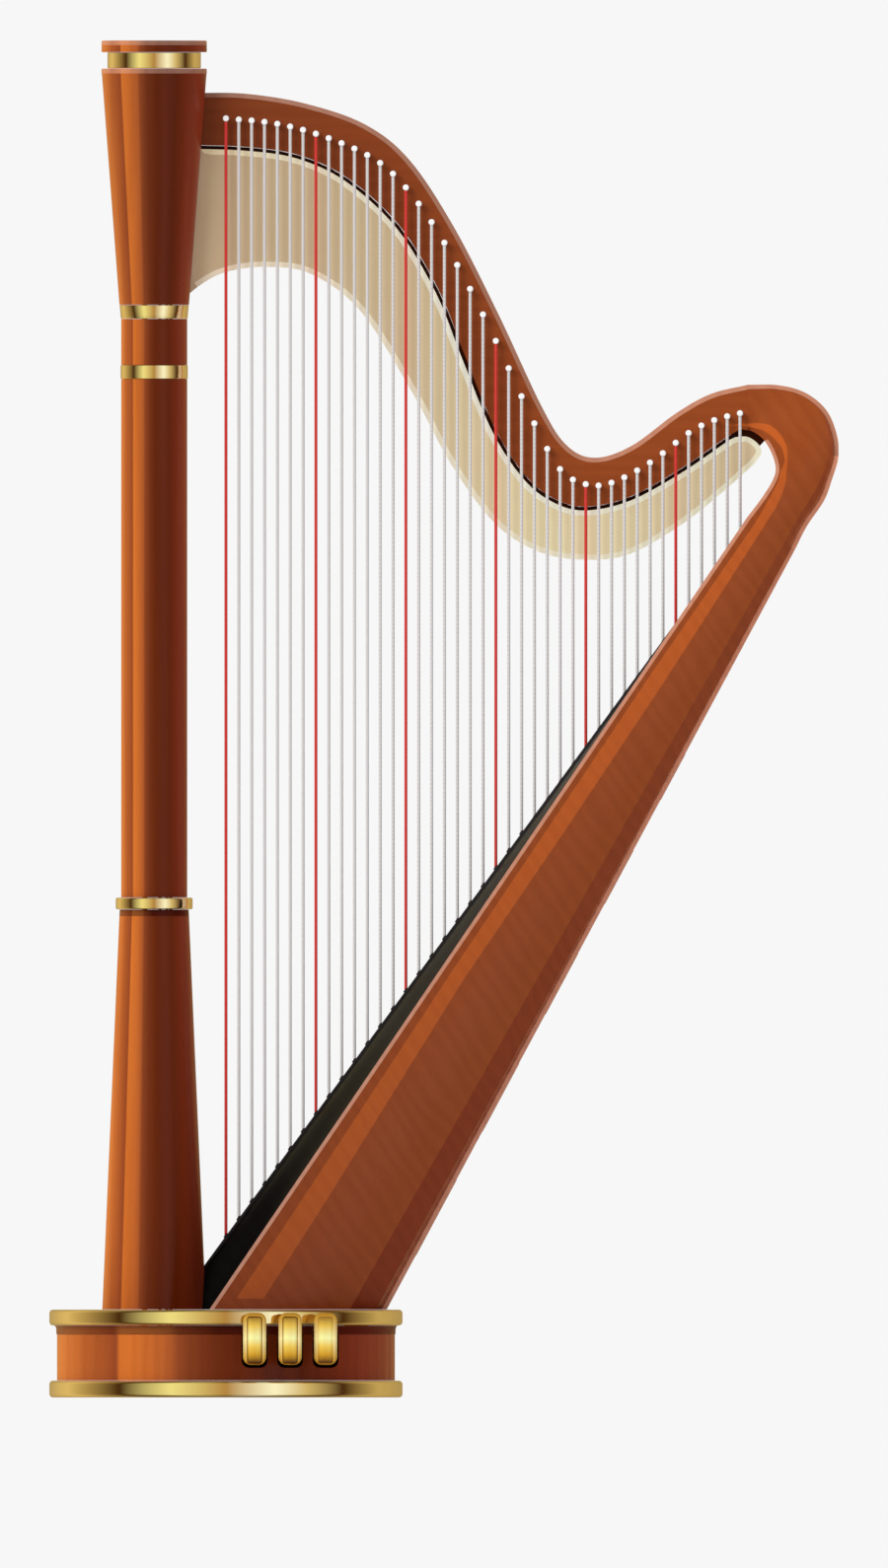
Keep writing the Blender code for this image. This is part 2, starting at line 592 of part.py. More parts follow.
def bar_outline(points, half):
    """Both sides of a path through (x, y) points, mitred at its bends."""
    left, right = [], []
    for i, p in enumerate(points):
        before = (p - points[i - 1]).normalized() if i else None
        after = (points[i + 1] - p).normalized() if i < len(points) - 1 else None
        if before is None or after is None:
            side = after or before
            normal, reach = Vector((-side.y, side.x)), half
        else:
            normal = (Vector((-before.y, before.x)) + Vector((-after.y, after.x))).normalized()
            reach = half / normal.dot(Vector((-after.y, after.x)))
        left.append(p + normal * reach)
        right.append(p - normal * reach)
    return left + right[::-1]


def helix(name, x, y, z0, z1):
    """A coil spring of four-sided wire with flat ends."""
    steps = 8 * SPRING_TURNS
    r, w = SPRING_R, SPRING_WIRE
    rings = []
    for i in range(steps + 1):
        angle = math.tau * i / 8
        z = z0 + w + (z1 - z0 - 2 * w) * i / steps
        out = Vector((math.cos(angle), math.sin(angle), 0))
        rings.append([Vector((x, y, z)) + out * (r + a) + Vector((0, 0, b))
                      for a, b in ((-w, -w), (w, -w), (w, w), (-w, w))])
    return loft(name, rings)


def pedals():
    bracket = turned("pedal_bracket", ((BRACKET_R0, MOULDING_H + GAP + BRACKET_H), (BRACKET_R1, MOULDING_H + GAP
                     + BRACKET_H), (BRACKET_R1, MOULDING_H + GAP), (BRACKET_R0, MOULDING_H + GAP)),
                     COLUMN_X, COLUMN_SEGMENTS)
    for pedal in PEDALS:
        letter, angle, _, _, side = pedal
        a = math.radians(angle)
        start = Vector((COLUMN_X + ROD_CIRCLE * math.cos(a), ROD_CIRCLE * math.sin(a)))
        cap = cap_place(pedal)
        knee = Vector((cap.x, cap.y - side * KNEE_INSIDE))
        along = (knee - start).normalized()
        across = Vector((-along.y, along.x))
        pivot = start + along * ARM
        level = Vector((along.x, along.y, 0))
        # Ears of the bracket, open upwards so that the lever's pins drop in
        middle = Vector((pivot.x, pivot.y, (EAR_TOP + MOULDING_H + 0.004) / 2))
        ear = box("tool_ear_" + letter, middle, level,
                  (EAR_LENGTH / 2, EAR_HALF, (EAR_TOP - MOULDING_H - 0.004) / 2), cutter=True)
        boolean(bracket, ear, "UNION")
        middle.z = LEVER_Z + 0.008
        boolean(bracket, box("cut_channel_" + letter, middle, level, (0.02, LEVER_W / 2 + 0.0006, 0.0160),
                             cutter=True))
        middle.z = LEVER_Z + 0.010
        boolean(bracket, box("cut_saddle_" + letter, middle, level, (TRUNNION_R + 0.0004, 0.03, 0.0134),
                             cutter=True))
        tail = start - along * LEVER_TAIL
        path = [tail, pivot, knee, Vector((cap.x, cap.y - side * GAP))]
        lever = plan("pedal_lever_" + letter, bar_outline(path, LEVER_W / 2), LEVER_Z - LEVER_H / 2,
                     LEVER_Z + LEVER_H / 2)
        pin = rods("tool_trunnion_" + letter, [((*(pivot - across * TRUNNION_HALF), LEVER_Z),
                                                (*(pivot + across * TRUNNION_HALF), LEVER_Z), TRUNNION_R)],
                   12, cutter=True)
        finish(boolean(lever, pin, "UNION"), STEEL, 1.0, 0.35)
        hinge = (pivot.x, pivot.y, LEVER_Z)
        set_origin(lever, hinge)
        outline = rounded_outline(cap.x, CAP_W / 2, LEVER_Z - CAP_H / 2, LEVER_Z + CAP_H / 2, CAP_ROUND, CAP_ROUND)
        sides = sorted((cap.y, cap.y + side * CAP_T))
        shoe = flat("pedal_cap_" + letter, outline, *sides)
        bevel = shoe.modifiers.new("Rim", "BEVEL")
        bevel.width, bevel.segments, bevel.limit_method = 0.0025, 1, "ANGLE"
        finish(shoe, GOLD, 1.0, 0.25)
        set_origin(shoe, hinge)
        foot = (start.x, start.y, ROD_Z0)
        drawn = rods("pedal_rod_" + letter, [(foot, (start.x, start.y, ROD_Z1), ROD_R)], 8)
        set_origin(finish(drawn, STEEL, 1.0, 0.35), foot)
        under = pivot + along * SPRING_OUT
        finish(helix("pedal_spring_" + letter, under.x, under.y, MOULDING_H + GAP,
                     LEVER_Z - LEVER_H / 2 - GAP), STEEL, 1.0, 0.35)
    finish(bracket, STEEL, 1.0, 0.45)


base()
column()
neck()
shoulder()
strings(soundbox())
pedals()
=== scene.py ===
"""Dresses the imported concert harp: varnished wood, gilt rings, brass action plates and strings.

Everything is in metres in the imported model's own frame: +X towards the player, +Z up, and the
strings in the plane y = 0.
"""

import json
import logging
import math
from dataclasses import dataclass, field
from enum import Enum
from typing import Callable, Iterable, Sequence

import bmesh
import bpy
from mathutils import Matrix, Vector

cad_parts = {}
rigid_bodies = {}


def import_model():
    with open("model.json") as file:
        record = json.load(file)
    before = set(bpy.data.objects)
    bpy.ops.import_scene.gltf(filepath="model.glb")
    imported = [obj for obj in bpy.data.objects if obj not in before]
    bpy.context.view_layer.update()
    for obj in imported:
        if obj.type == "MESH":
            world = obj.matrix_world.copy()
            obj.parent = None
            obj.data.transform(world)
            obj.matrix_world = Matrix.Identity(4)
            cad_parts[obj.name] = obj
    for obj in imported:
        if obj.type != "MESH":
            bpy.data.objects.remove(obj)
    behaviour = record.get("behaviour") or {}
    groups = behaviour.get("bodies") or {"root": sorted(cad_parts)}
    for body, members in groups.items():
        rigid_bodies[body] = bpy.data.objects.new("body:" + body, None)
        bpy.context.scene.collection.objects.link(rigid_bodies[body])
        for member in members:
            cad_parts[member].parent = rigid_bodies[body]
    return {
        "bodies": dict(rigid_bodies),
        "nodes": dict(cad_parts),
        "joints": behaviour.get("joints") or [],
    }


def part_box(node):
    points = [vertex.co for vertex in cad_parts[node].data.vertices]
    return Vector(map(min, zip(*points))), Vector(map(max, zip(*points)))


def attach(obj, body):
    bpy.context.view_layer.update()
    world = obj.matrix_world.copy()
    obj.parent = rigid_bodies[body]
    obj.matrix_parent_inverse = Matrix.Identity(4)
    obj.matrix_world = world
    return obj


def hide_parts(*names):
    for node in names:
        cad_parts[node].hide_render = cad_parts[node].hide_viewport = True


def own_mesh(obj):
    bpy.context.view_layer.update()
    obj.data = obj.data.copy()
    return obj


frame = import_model()

LOG = logging.getLogger("concert_harp")
Point = tuple[float, float]
Colour = tuple[float, float, float]
Ring = list[Vector]
Line = Callable[[float], Vector]
Slots = Callable[[int, int], int]

MERGE = 1e-5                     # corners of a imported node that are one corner
HINGE_EDGE = 0.9                 # an edge is sharp, and so is eased, past this angle in radians
GAP = 0.0003                     # air between neighbouring pieces


class Body(str, Enum):
    """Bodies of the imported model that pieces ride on."""

    FRAME = "frame"
    PEDAL = "pedal_"
    ROD = "rod_"


class Slot(str, Enum):
    """Material slots of the record."""

    WOOD = "mahogany"
    DARK = "dark_wood"
    PALE = "maple"
    BLACK = "black_lacquer"
    GOLD = "gold"
    BRASS = "champagne_brass"
    STEEL = "steel"
    STRING = "string_gut"


class Grain(Enum):
    """Which way a piece's wood grain runs, as a turn about Y in degrees from the X axis."""

    LEVEL = 0.0
    UPRIGHT = 90.0
    SLOPE = -55.8


def srgb(red: float, green: float, blue: float) -> Colour:
    """Turns a 0 to 255 screen colour into linear light.

    Args:
        red: Red share of the screen colour.
        green: Green share of the screen colour.
        blue: Blue share of the screen colour.

    Returns:
        The colour in linear light.
    """
    def lin(value: float) -> float:
        """Linear light of one channel."""
        v = value / 255.0
        return v / 12.92 if v <= 0.04045 else ((v + 0.055) / 1.055) ** 2.4
    return lin(red), lin(green), lin(blue)


# ---------------------------------------------------------------- light that the finishes are mixed for


@dataclass(frozen=True)
class Lamp:
    """A distant soft lamp.

    Attributes:
        name: Name of the lamp.
        azimuth: Where it stands, in degrees from -Y towards +X.
        elevation: Its height in degrees.
        strength: Light on a surface that faces it, where 1 shows a finish as mixed.
        size: Its apparent size in degrees.
        shadow: Whether it casts shadows.
    """

    name: str
    azimuth: float
    elevation: float
    strength: float
    size: float
    shadow: bool

    def on(self, azimuth: float) -> float:
        """Light that an upright surface facing that azimuth receives."""
        turn = math.radians(azimuth - self.azimuth)
        return self.strength * math.cos(math.radians(self.elevation)) * max(math.cos(turn), 0.0)


LAMPS = (Lamp("key_left", -40.0, 30.0, 0.55, 30.0, True), Lamp("back_right", 150.0, 35.0, 0.35, 30.0, False))
FILL = 0.56
ROOM = 0.62
FRONT_GLOSS: Colour = (0.48, 0.32, 0.13)
GLOSS_BLUR = 25.0
SOFT_BOXES: tuple[tuple[float, Colour], ...] = (
    (-180.0, (0.40, 0.28, 0.095)), (-128.0, (0.79, 0.665, 0.325)), (-74.0, (0.055, 0.018, 0.0015)),
    (-37.0, (0.974, 1.056, 0.64)), (0.0, (0.484, 0.32, 0.126)), (32.5, (1.077, 1.28, 1.5)),
    (55.0, (0.70, 0.633, 0.383)), (83.0, (0.058, 0.018, 0.002)), (119.0, (0.593, 0.503, 0.246)),
    (180.0, (0.40, 0.28, 0.095)))


def light_on(azimuth: float) -> float:
    """Light on an upright surface from the room and both lamps.

    Args:
        azimuth: Where the surface faces, in degrees from -Y towards +X.

    Returns:
        The light, where 1 shows a finish as mixed.
    """
    return ROOM + sum(lamp.on(azimuth) for lamp in LAMPS)


def gloss_from(azimuth: float) -> Colour:
    """What a satin surface mirrors from that azimuth of the room.

    Args:
        azimuth: Where the mirrored ray goes, in degrees from -Y towards +X.

    Returns:
        The colour, averaged over the spread of a satin reflection.
    """
    total = Vector((0.0, 0.0, 0.0))
    for turn in (-GLOSS_BLUR, 0.0, GLOSS_BLUR):
        angle = (azimuth + turn + 180.0) % 360.0 - 180.0
        first, last = next((a, b) for a, b in zip(SOFT_BOXES, SOFT_BOXES[1:]) if angle <= b[0])
        total += Vector(first[1]).lerp(Vector(last[1]), (angle - first[0]) / (last[0] - first[0]))
    red, green, blue = total / 3
    return red, green, blue


# ---------------------------------------------------------------- shader benches


class Bench:
    """A node tree being wired, with short calls for the nodes that every finish needs."""

    def __init__(self, tree: bpy.types.NodeTree) -> None:
        """Takes the tree to work on."""
        self.tree = tree

    def node(self, kind: str, **settings: object) -> bpy.types.Node:
        """Adds a node and sets its properties.

        Args:
            kind: Blender's type name of the node.
            **settings: Properties of the node.

        Returns:
            The new node.
        """
        made = self.tree.nodes.new(kind)
        for key, value in settings.items():
            setattr(made, key, value)
        return made

    def feed(self, target: bpy.types.NodeSocket, value: object) -> None:
        """Wires a socket, or sets its value where that is a number or a colour."""
        if isinstance(value, bpy.types.NodeSocket):
            self.tree.links.new(value, target)
        elif isinstance(value, tuple) and len(value) == 3 and target.type == "RGBA":
            target.default_value = (*value, 1.0)
        else:
            target.default_value = value

    def colours(self, source: object, stops: Sequence[tuple[float, Colour]]) -> bpy.types.NodeSocket:
        """Adds a ramp of colours.

        Args:
            source: Socket that drives the ramp.
            stops: Position and colour of each stop, in order.

        Returns:
            The ramp's colour socket.
        """
        made = self.node("ShaderNodeValToRGB")
        made.color_ramp.elements[0].position, made.color_ramp.elements[1].position = stops[0][0], stops[-1][0]
        for place, _ in stops[1:-1]:
            made.color_ramp.elements.new(place)
        for element, (place, colour) in zip(made.color_ramp.elements, stops):
            element.position, element.color = place, (*colour, 1.0)
        self.feed(made.inputs["Fac"], source)
        return made.outputs["Color"]

    def ramp(self, source: object, *stops: Point) -> bpy.types.NodeSocket:
        """Adds a grey ramp from positions and levels."""
        return self.colours(source, [(place, (level,) * 3) for place, level in stops])

    def math(self, operation: str, *values: object, clamp: bool = False) -> bpy.types.NodeSocket:
        """Adds a Math node.

        Args:
            operation: Blender's name of the operation.
            *values: Sockets or numbers, in order.
            clamp: Whether to keep the result between 0 and 1.

        Returns:
            The result socket.
        """
        made = self.node("ShaderNodeMath", operation=operation, use_clamp=clamp)
        for socket, value in zip(made.inputs, values):
            self.feed(socket, value)
        return made.outputs[0]

    def mix(self, share: object, first: object, second: object, blend: str = "MIX") -> bpy.types.NodeSocket:
        """Adds a colour Mix node.

        Args:
            share: Socket or number for the factor.
            first: Socket or colour of input A.
            second: Socket or colour of input B.
            blend: Blend mode.

        Returns:
            The mixed colour socket.
        """
        made = self.node("ShaderNodeMix", data_type="RGBA", blend_type=blend)
        for number, value in ((0, share), (6, first), (7, second)):
            self.feed(made.inputs[number], value)
        return made.outputs[2]

    def stretched(self, vector: bpy.types.NodeSocket, scale: Sequence[float],
                  turn: Sequence[float] = (0.0, 0.0, 0.0)) -> bpy.types.NodeSocket:
        """Turns and scales a vector.

        Args:
            vector: Socket of the vector.
            scale: Scale along each axis.
            turn: Turn about each axis in radians.

        Returns:
            The socket of the new vector.
        """
        made = self.node("ShaderNodeMapping")
        made.inputs["Scale"].default_value, made.inputs["Rotation"].default_value = scale, turn
        self.feed(made.inputs["Vector"], vector)
        return made.outputs["Vector"]

    def noise(self, vector: object, scale: float, detail: float = 2.0,
              distortion: float = 0.0) -> bpy.types.NodeSocket:
        """Adds a noise.

        Args:
            vector: Socket of the vector.
            scale: Scale of the noise.
            detail: Octaves.
            distortion: How far it is warped.

        Returns:
            The value socket.
        """
        made = self.node("ShaderNodeTexNoise")
        made.inputs["Scale"].default_value, made.inputs["Detail"].default_value = scale, detail
        made.inputs["Distortion"].default_value = distortion
        self.feed(made.inputs["Vector"], vector)
        return made.outputs["Fac"]


class ShaderGroup(Bench):
    """A shader node group that several finishes share."""

    def __init__(self, name: str, inputs: Sequence[tuple[str, str, object]],
                 outputs: Sequence[tuple[str, str]]) -> None:
        """Makes the empty group.

        Args:
            name: Name of the group.
            inputs: Name, socket type and default of each input.
            outputs: Name and socket type of each output.
        """
        super().__init__(bpy.data.node_groups.new(name, "ShaderNodeTree"))
        for label, kind, value in inputs:
            socket = self.tree.interface.new_socket(name=label, in_out="INPUT", socket_type=kind)
            if value is not None:
                socket.default_value = value
        for label, kind in outputs:
            self.tree.interface.new_socket(name=label, in_out="OUTPUT", socket_type=kind)
        self.inputs = self.node("NodeGroupInput").outputs
        self.outputs = self.node("NodeGroupOutput").inputs


def build_wood_group() -> bpy.types.NodeTree:
    """Builds figured timber: growth lines, fine pores and cloudy figure along the X of its vector.

    Returns:
        The node group.
    """
    group = ShaderGroup(
        "timber_figure",
        [("Vector", "NodeSocketVector", None), ("Light", "NodeSocketColor", (0.3, 0.1, 0.04, 1)),
         ("Contrast", "NodeSocketFloat", 0.4)],
        [("Color", "NodeSocketColor"), ("Pores", "NodeSocketFloat"), ("Roughness", "NodeSocketFloat")],
    )
    long = group.stretched(group.inputs["Vector"], (0.9, 14.0, 14.0))
    cloud = group.noise(long, 1.6, 5.0, 0.6)
    lines = group.node("ShaderNodeTexWave", wave_type="BANDS", bands_direction="Z")
    lines.inputs["Scale"].default_value, lines.inputs["Distortion"].default_value = 1.1, 7.0
    lines.inputs["Detail"].default_value, lines.inputs["Detail Scale"].default_value = 3.0, 1.3
    group.feed(lines.inputs["Vector"], long)
    pores = group.ramp(group.noise(group.stretched(group.inputs["Vector"], (18.0, 620.0, 620.0)), 1.0),
                       (0.36, 0.0), (0.47, 1.0))
    figure = group.math("MULTIPLY_ADD", cloud, 0.62, group.math("MULTIPLY", lines.outputs["Fac"], 0.38))
    share = group.math("MULTIPLY", group.ramp(figure, (0.30, 0.0), (0.70, 1.0)), group.inputs["Contrast"])
    deep = group.mix(1.0, group.inputs["Light"], (0.62, 0.50, 0.46), "MULTIPLY")
    tone = group.mix(share, group.inputs["Light"], deep)
    group.feed(group.outputs["Color"], group.mix(group.math("MULTIPLY_ADD", pores, -0.12, 0.12), tone, deep))
    group.feed(group.outputs["Pores"], pores)
    group.feed(group.outputs["Roughness"], group.math("MULTIPLY_ADD", figure, 0.14, 0.24))
    return group.tree


def build_handling_group() -> bpy.types.NodeTree:
    """Builds handling marks: dull finger smears, fine scratches and settled dust, as masks.

    Returns:
        The node group.
    """
    group = ShaderGroup(
        "handling_marks",
        [("Vector", "NodeSocketVector", None), ("Roughness", "NodeSocketFloat", 0.3),
         ("Smears", "NodeSocketFloat", 0.1), ("Dust", "NodeSocketFloat", 0.1)],
        [("Roughness", "NodeSocketFloat"), ("Dust", "NodeSocketFloat"), ("Scratch", "NodeSocketFloat")],
    )
    vector = group.inputs["Vector"]
    smear = group.noise(vector, 9.0, 4.0)
    marks = group.ramp(group.noise(group.stretched(vector, (30.0, 900.0, 260.0), (0.4, 0.3, 0.9)), 1.0),
                       (0.60, 0.0), (0.74, 1.0))
    speck = group.node("ShaderNodeTexVoronoi")
    speck.inputs["Scale"].default_value = 420.0
    group.feed(speck.inputs["Vector"], vector)
    specks = group.ramp(speck.outputs["Distance"], (0.04, 1.0), (0.11, 0.0))
    split = group.node("ShaderNodeSeparateXYZ")
    group.feed(split.inputs[0], group.node("ShaderNodeNewGeometry").outputs["Normal"])
    upward = group.ramp(split.outputs["Z"], (0.45, 0.05), (0.95, 1.0))
    dust = group.math("MULTIPLY", group.math("MULTIPLY", specks, upward), group.inputs["Dust"])
    group.feed(group.outputs["Dust"], dust)
    spread = group.math("MULTIPLY", group.math("SUBTRACT", smear, 0.5), group.inputs["Smears"])
    rough = group.math("MULTIPLY_ADD", marks, 0.05, group.math("ADD", group.inputs["Roughness"], spread))
    group.feed(group.outputs["Roughness"], group.math("MULTIPLY_ADD", dust, 0.3, rough))
    group.feed(group.outputs["Scratch"], marks)
    return group.tree


def build_brushing_group() -> bpy.types.NodeTree:
    """Builds the fine lines that polishing leaves on metal, with a slow colour drift of old lacquer.

    Returns:
        The node group.
    """
    group = ShaderGroup(
        "polishing_lines",
        [("Vector", "NodeSocketVector", None), ("Bright", "NodeSocketColor", (0.8, 0.6, 0.3, 1)),
         ("Aged", "NodeSocketFloat", 0.3), ("Across", "NodeSocketFloat", 600.0)],
        [("Color", "NodeSocketColor"), ("Height", "NodeSocketFloat")],
    )
    factor = group.node("ShaderNodeCombineXYZ")
    factor.inputs[0].default_value = factor.inputs[1].default_value = 6.0
    group.feed(factor.inputs[2], group.inputs["Across"])
    scaled = group.node("ShaderNodeVectorMath", operation="MULTIPLY")
    group.feed(scaled.inputs[0], group.inputs["Vector"])
    group.feed(scaled.inputs[1], factor.outputs[0])
    drift = group.ramp(group.noise(group.inputs["Vector"], 14.0, 4.0), (0.38, 0.0), (0.68, 1.0))
    toned = group.mix(1.0, group.inputs["Bright"], (0.84, 0.74, 0.58), "MULTIPLY")
    share = group.math("MULTIPLY", drift, group.inputs["Aged"])
    group.feed(group.outputs["Color"], group.mix(share, group.inputs["Bright"], toned))
    group.feed(group.outputs["Height"], group.noise(scaled.outputs[0], 1.0, 3.0))
    return group.tree


@dataclass
class GroupRack:
    """The shared shader groups, built once."""

    wood: bpy.types.NodeTree = field(default_factory=build_wood_group)
    handling: bpy.types.NodeTree = field(default_factory=build_handling_group)
    brushing: bpy.types.NodeTree = field(default_factory=build_brushing_group)


# ---------------------------------------------------------------- finishes


class Run(Enum):
    """What a finish's tone changes with."""

    ALONG = "X"
    RISING = "Z"
    ROUND = "side"


@dataclass(frozen=True)
class Tones:
    """A run of colours over a piece.

    Attributes:
        run: What the tone changes with.
        span: Where the run starts and ends in metres; for a round piece, X of its axis twice.
        stops: Place from 0 to 1 with red, green and blue from 0 to 255, in order.
    """

    run: Run
    span: Point
    stops: tuple[tuple[float, float, float, float], ...]

    def mixed(self, correct: Callable[[Colour, float], Colour]) -> list[tuple[float, Colour]]:
        """Linear colours of the stops after a correction.

        Args:
            correct: Takes a linear colour and its place, and returns the colour to mix.

        Returns:
            Place and colour of each stop.
        """
        return [(place, correct(srgb(*colour), place)) for place, *colour in self.stops]


def plain(red: float, green: float, blue: float) -> Tones:
    """One tone all over."""
    return Tones(Run.RISING, (0.0, 2.0), ((0.0, red, green, blue), (1.0, red, green, blue)))


def along(start: float, end: float, *stops: tuple[float, float, float, float]) -> Tones:
    """Tones along X between two distances."""
    return Tones(Run.ALONG, (start, end), stops)


class Recipe(Bench):
    """A material under construction."""

    def __init__(self, name: str) -> None:
        """Starts a material with one Principled BSDF."""
        self.material = bpy.data.materials.new(name)
        self.material.use_nodes = True
        super().__init__(self.material.node_tree)
        self.shader = self.tree.nodes["Principled BSDF"]
        self.place = self.node("ShaderNodeTexCoord").outputs["Object"]

    def group(self, tree: bpy.types.NodeTree, **values: object) -> bpy.types.Node:
        """Places a shared group.

        Args:
            tree: The group.
            **values: Values or sockets of its inputs, by name.

        Returns:
            The group node.
        """
        made = self.node("ShaderNodeGroup", node_tree=tree)
        self.feed(made.inputs["Vector"], self.place)
        for key, value in values.items():
            self.feed(made.inputs[key], value)
        return made

    def lengthways(self, grain: Grain) -> bpy.types.NodeSocket:
        """Object coordinates turned so that X runs with the grain."""
        return self.stretched(self.place, (1.0, 1.0, 1.0), (0.0, math.radians(grain.value), 0.0))

    def tone(self, tones: Tones, correct: Callable[[Colour, float], Colour]) -> bpy.types.NodeSocket:
        """Adds a run of tones on Object coordinates.

        Args:
            tones: The run.
            correct: Correction of each linear colour, given its place.

        Returns:
            The colour socket.
        """
        split = self.node("ShaderNodeSeparateXYZ")
        self.feed(split.inputs[0], self.place)
        if tones.run is Run.ROUND:
            aside = self.math("SUBTRACT", split.outputs["X"], tones.span[0])
            square = self.math("MULTIPLY_ADD", split.outputs["Y"], split.outputs["Y"],
                               self.math("MULTIPLY", aside, aside))
            share = self.math("MULTIPLY_ADD", self.math("DIVIDE", aside, self.math("SQRT", square)), 0.5, 0.5)
        else:
            width = tones.span[1] - tones.span[0]
            share = self.math("MULTIPLY_ADD", split.outputs[tones.run.value], 1.0 / width,
                              -tones.span[0] / width)
        return self.colours(share, tones.mixed(correct))

    def bump(self, height: bpy.types.NodeSocket, strength: float, distance: float) -> None:
        """Raises the surface by a height.

        Args:
            height: Socket of the height.
            strength: Share of the effect.
            distance: Full height in metres.
        """
        made = self.node("ShaderNodeBump")
        made.inputs["Strength"].default_value, made.inputs["Distance"].default_value = strength, distance
        self.feed(made.inputs["Height"], height)
        self.feed(self.shader.inputs["Normal"], made.outputs["Normal"])

    def dress(self, **values: object) -> bpy.types.Material:
        """Sets the shader's own sockets; an underscore in a name stands for a space.

        Args:
            **values: Values or sockets by name.

        Returns:
            The finished material.
        """
        for key, value in values.items():
            self.feed(self.shader.inputs[key.replace("_", " ")], value)
        return self.material


@dataclass(frozen=True)
class VarnishedWood:
    """Timber under varnish.

    Attributes:
        name: Name of the material.
        tones: Its tones.
        grain: Direction of the grain.
        contrast: Depth of the figure.
        coat: Weight of the varnish.
        lift: How much lighter it is mixed, to make up for its figure; on the back shade and back edge strips
            it is raised further, painting light in against the shade that they sit in.
        gloss: Share of a front reflection that its shine adds.
    """

    name: str
    tones: Tones
    grain: Grain = Grain.LEVEL
    contrast: float = 0.22
    coat: float = 0.08
    lift: float = 1.05
    gloss: float = 0.008

    def correct(self, colour: Colour, place: float) -> Colour:
        """Colour to mix so that light and shine bring it back to the tone."""
        light, shine, mirrored = 1.0, self.gloss, FRONT_GLOSS
        if self.tones.run is Run.ROUND:
            turn = math.degrees(math.asin(2 * place - 1))
            light, mirrored = light_on(turn), gloss_from(2 * turn)
            shine = self.gloss * (1 + 3 * (2 * place - 1) ** 4)
        red, green, blue = (max(c - shine * g, 0.25 * c) * self.lift / light
                            for c, g in zip(colour, mirrored))
        return min(red, 1.0), min(green, 1.0), min(blue, 1.0)

    def build(self, groups: GroupRack) -> bpy.types.Material:
        """Makes the material.

        Args:
            groups: The shared shader groups.

        Returns:
            The material.
        """
        recipe = Recipe(self.name)
        lengthways = recipe.lengthways(self.grain)
        figure = recipe.group(groups.wood, Contrast=self.contrast, Vector=lengthways,
                              Light=recipe.tone(self.tones, self.correct)).outputs
        marks = recipe.group(groups.handling, Smears=0.10, Dust=0.35, Roughness=figure["Roughness"]).outputs
        recipe.bump(figure["Pores"], 0.18, 0.0002)
        return recipe.dress(Base_Color=recipe.mix(marks["Dust"], figure["Color"], (0.55, 0.50, 0.45)),
                            Roughness=marks["Roughness"], Coat_Weight=self.coat, Coat_Roughness=0.12,
                            Specular_IOR_Level=0.06)


@dataclass(frozen=True)
class Metal:
    """Polished or brushed metal under clear lacquer.

    Attributes:
        name: Name of the material.
        tones: Its tones.
        rough: Roughness of the clean metal.
        metallic: Metallic value.
        across: Polishing lines for each metre of Z.
        lines: Strength of the polishing lines.
        aged: Depth of the lacquer's ageing.
        lift: How much lighter it is mixed, to make up for the shade that it sits in.
        pure: Whether the tones are the metal's own colour, not the tone that it shows.
    """

    name: str
    tones: Tones
    rough: float = 0.16
    metallic: float = 1.0
    across: float = 900.0
    lines: float = 0.06
    aged: float = 0.18
    lift: float = 1.0
    pure: bool = False

    def correct(self, colour: Colour, place: float) -> Colour:
        """Colour to mix so that light and reflections bring it back to the tone."""
        if self.pure:
            return colour
        red, green, blue = (min(c * self.lift / ((1 - self.metallic) + self.metallic * g), 1.0)
                            for c, g in zip(colour, FRONT_GLOSS))
        return red, green, blue

    def build(self, groups: GroupRack) -> bpy.types.Material:
        """Makes the material.

        Args:
            groups: The shared shader groups.

        Returns:
            The material.
        """
        recipe = Recipe(self.name)
        brush = recipe.group(groups.brushing, Bright=recipe.tone(self.tones, self.correct),
                             Across=self.across, Aged=self.aged).outputs
        marks = recipe.group(groups.handling, Roughness=self.rough, Smears=0.05, Dust=0.3).outputs
        recipe.bump(brush["Height"], self.lines, 0.0001)
        return recipe.dress(Base_Color=brush["Color"], Roughness=marks["Roughness"], Metallic=self.metallic,
                            Specular_IOR_Level=0.2)


@dataclass(frozen=True)
class Lacquer:
    """Opaque lacquer over spruce, with the board's grain printing through.

    Attributes:
        name: Name of the material.
        tones: Its tones.
        rough: Roughness of the lacquer.
        grain: Direction of the grain.
    """

    name: str
    tones: Tones
    rough: float = 0.45
    grain: Grain = Grain.SLOPE

    def build(self, groups: GroupRack) -> bpy.types.Material:
        """Makes the material.

        Args:
            groups: The shared shader groups.

        Returns:
            The material.
        """
        recipe = Recipe(self.name)
        lengthways = recipe.lengthways(self.grain)
        figure = recipe.group(groups.wood, Contrast=0.25, Vector=lengthways,
                              Light=recipe.tone(self.tones, lambda colour, place: colour)).outputs
        marks = recipe.group(groups.handling, Roughness=self.rough, Smears=0.15, Dust=0.15).outputs
        recipe.bump(figure["Pores"], 0.10, 0.0002)
        return recipe.dress(Base_Color=recipe.mix(marks["Dust"], figure["Color"], (0.20, 0.19, 0.18)),
                            Roughness=marks["Roughness"], Coat_Weight=0.01, Coat_Roughness=0.2,
                            Specular_IOR_Level=0.05)


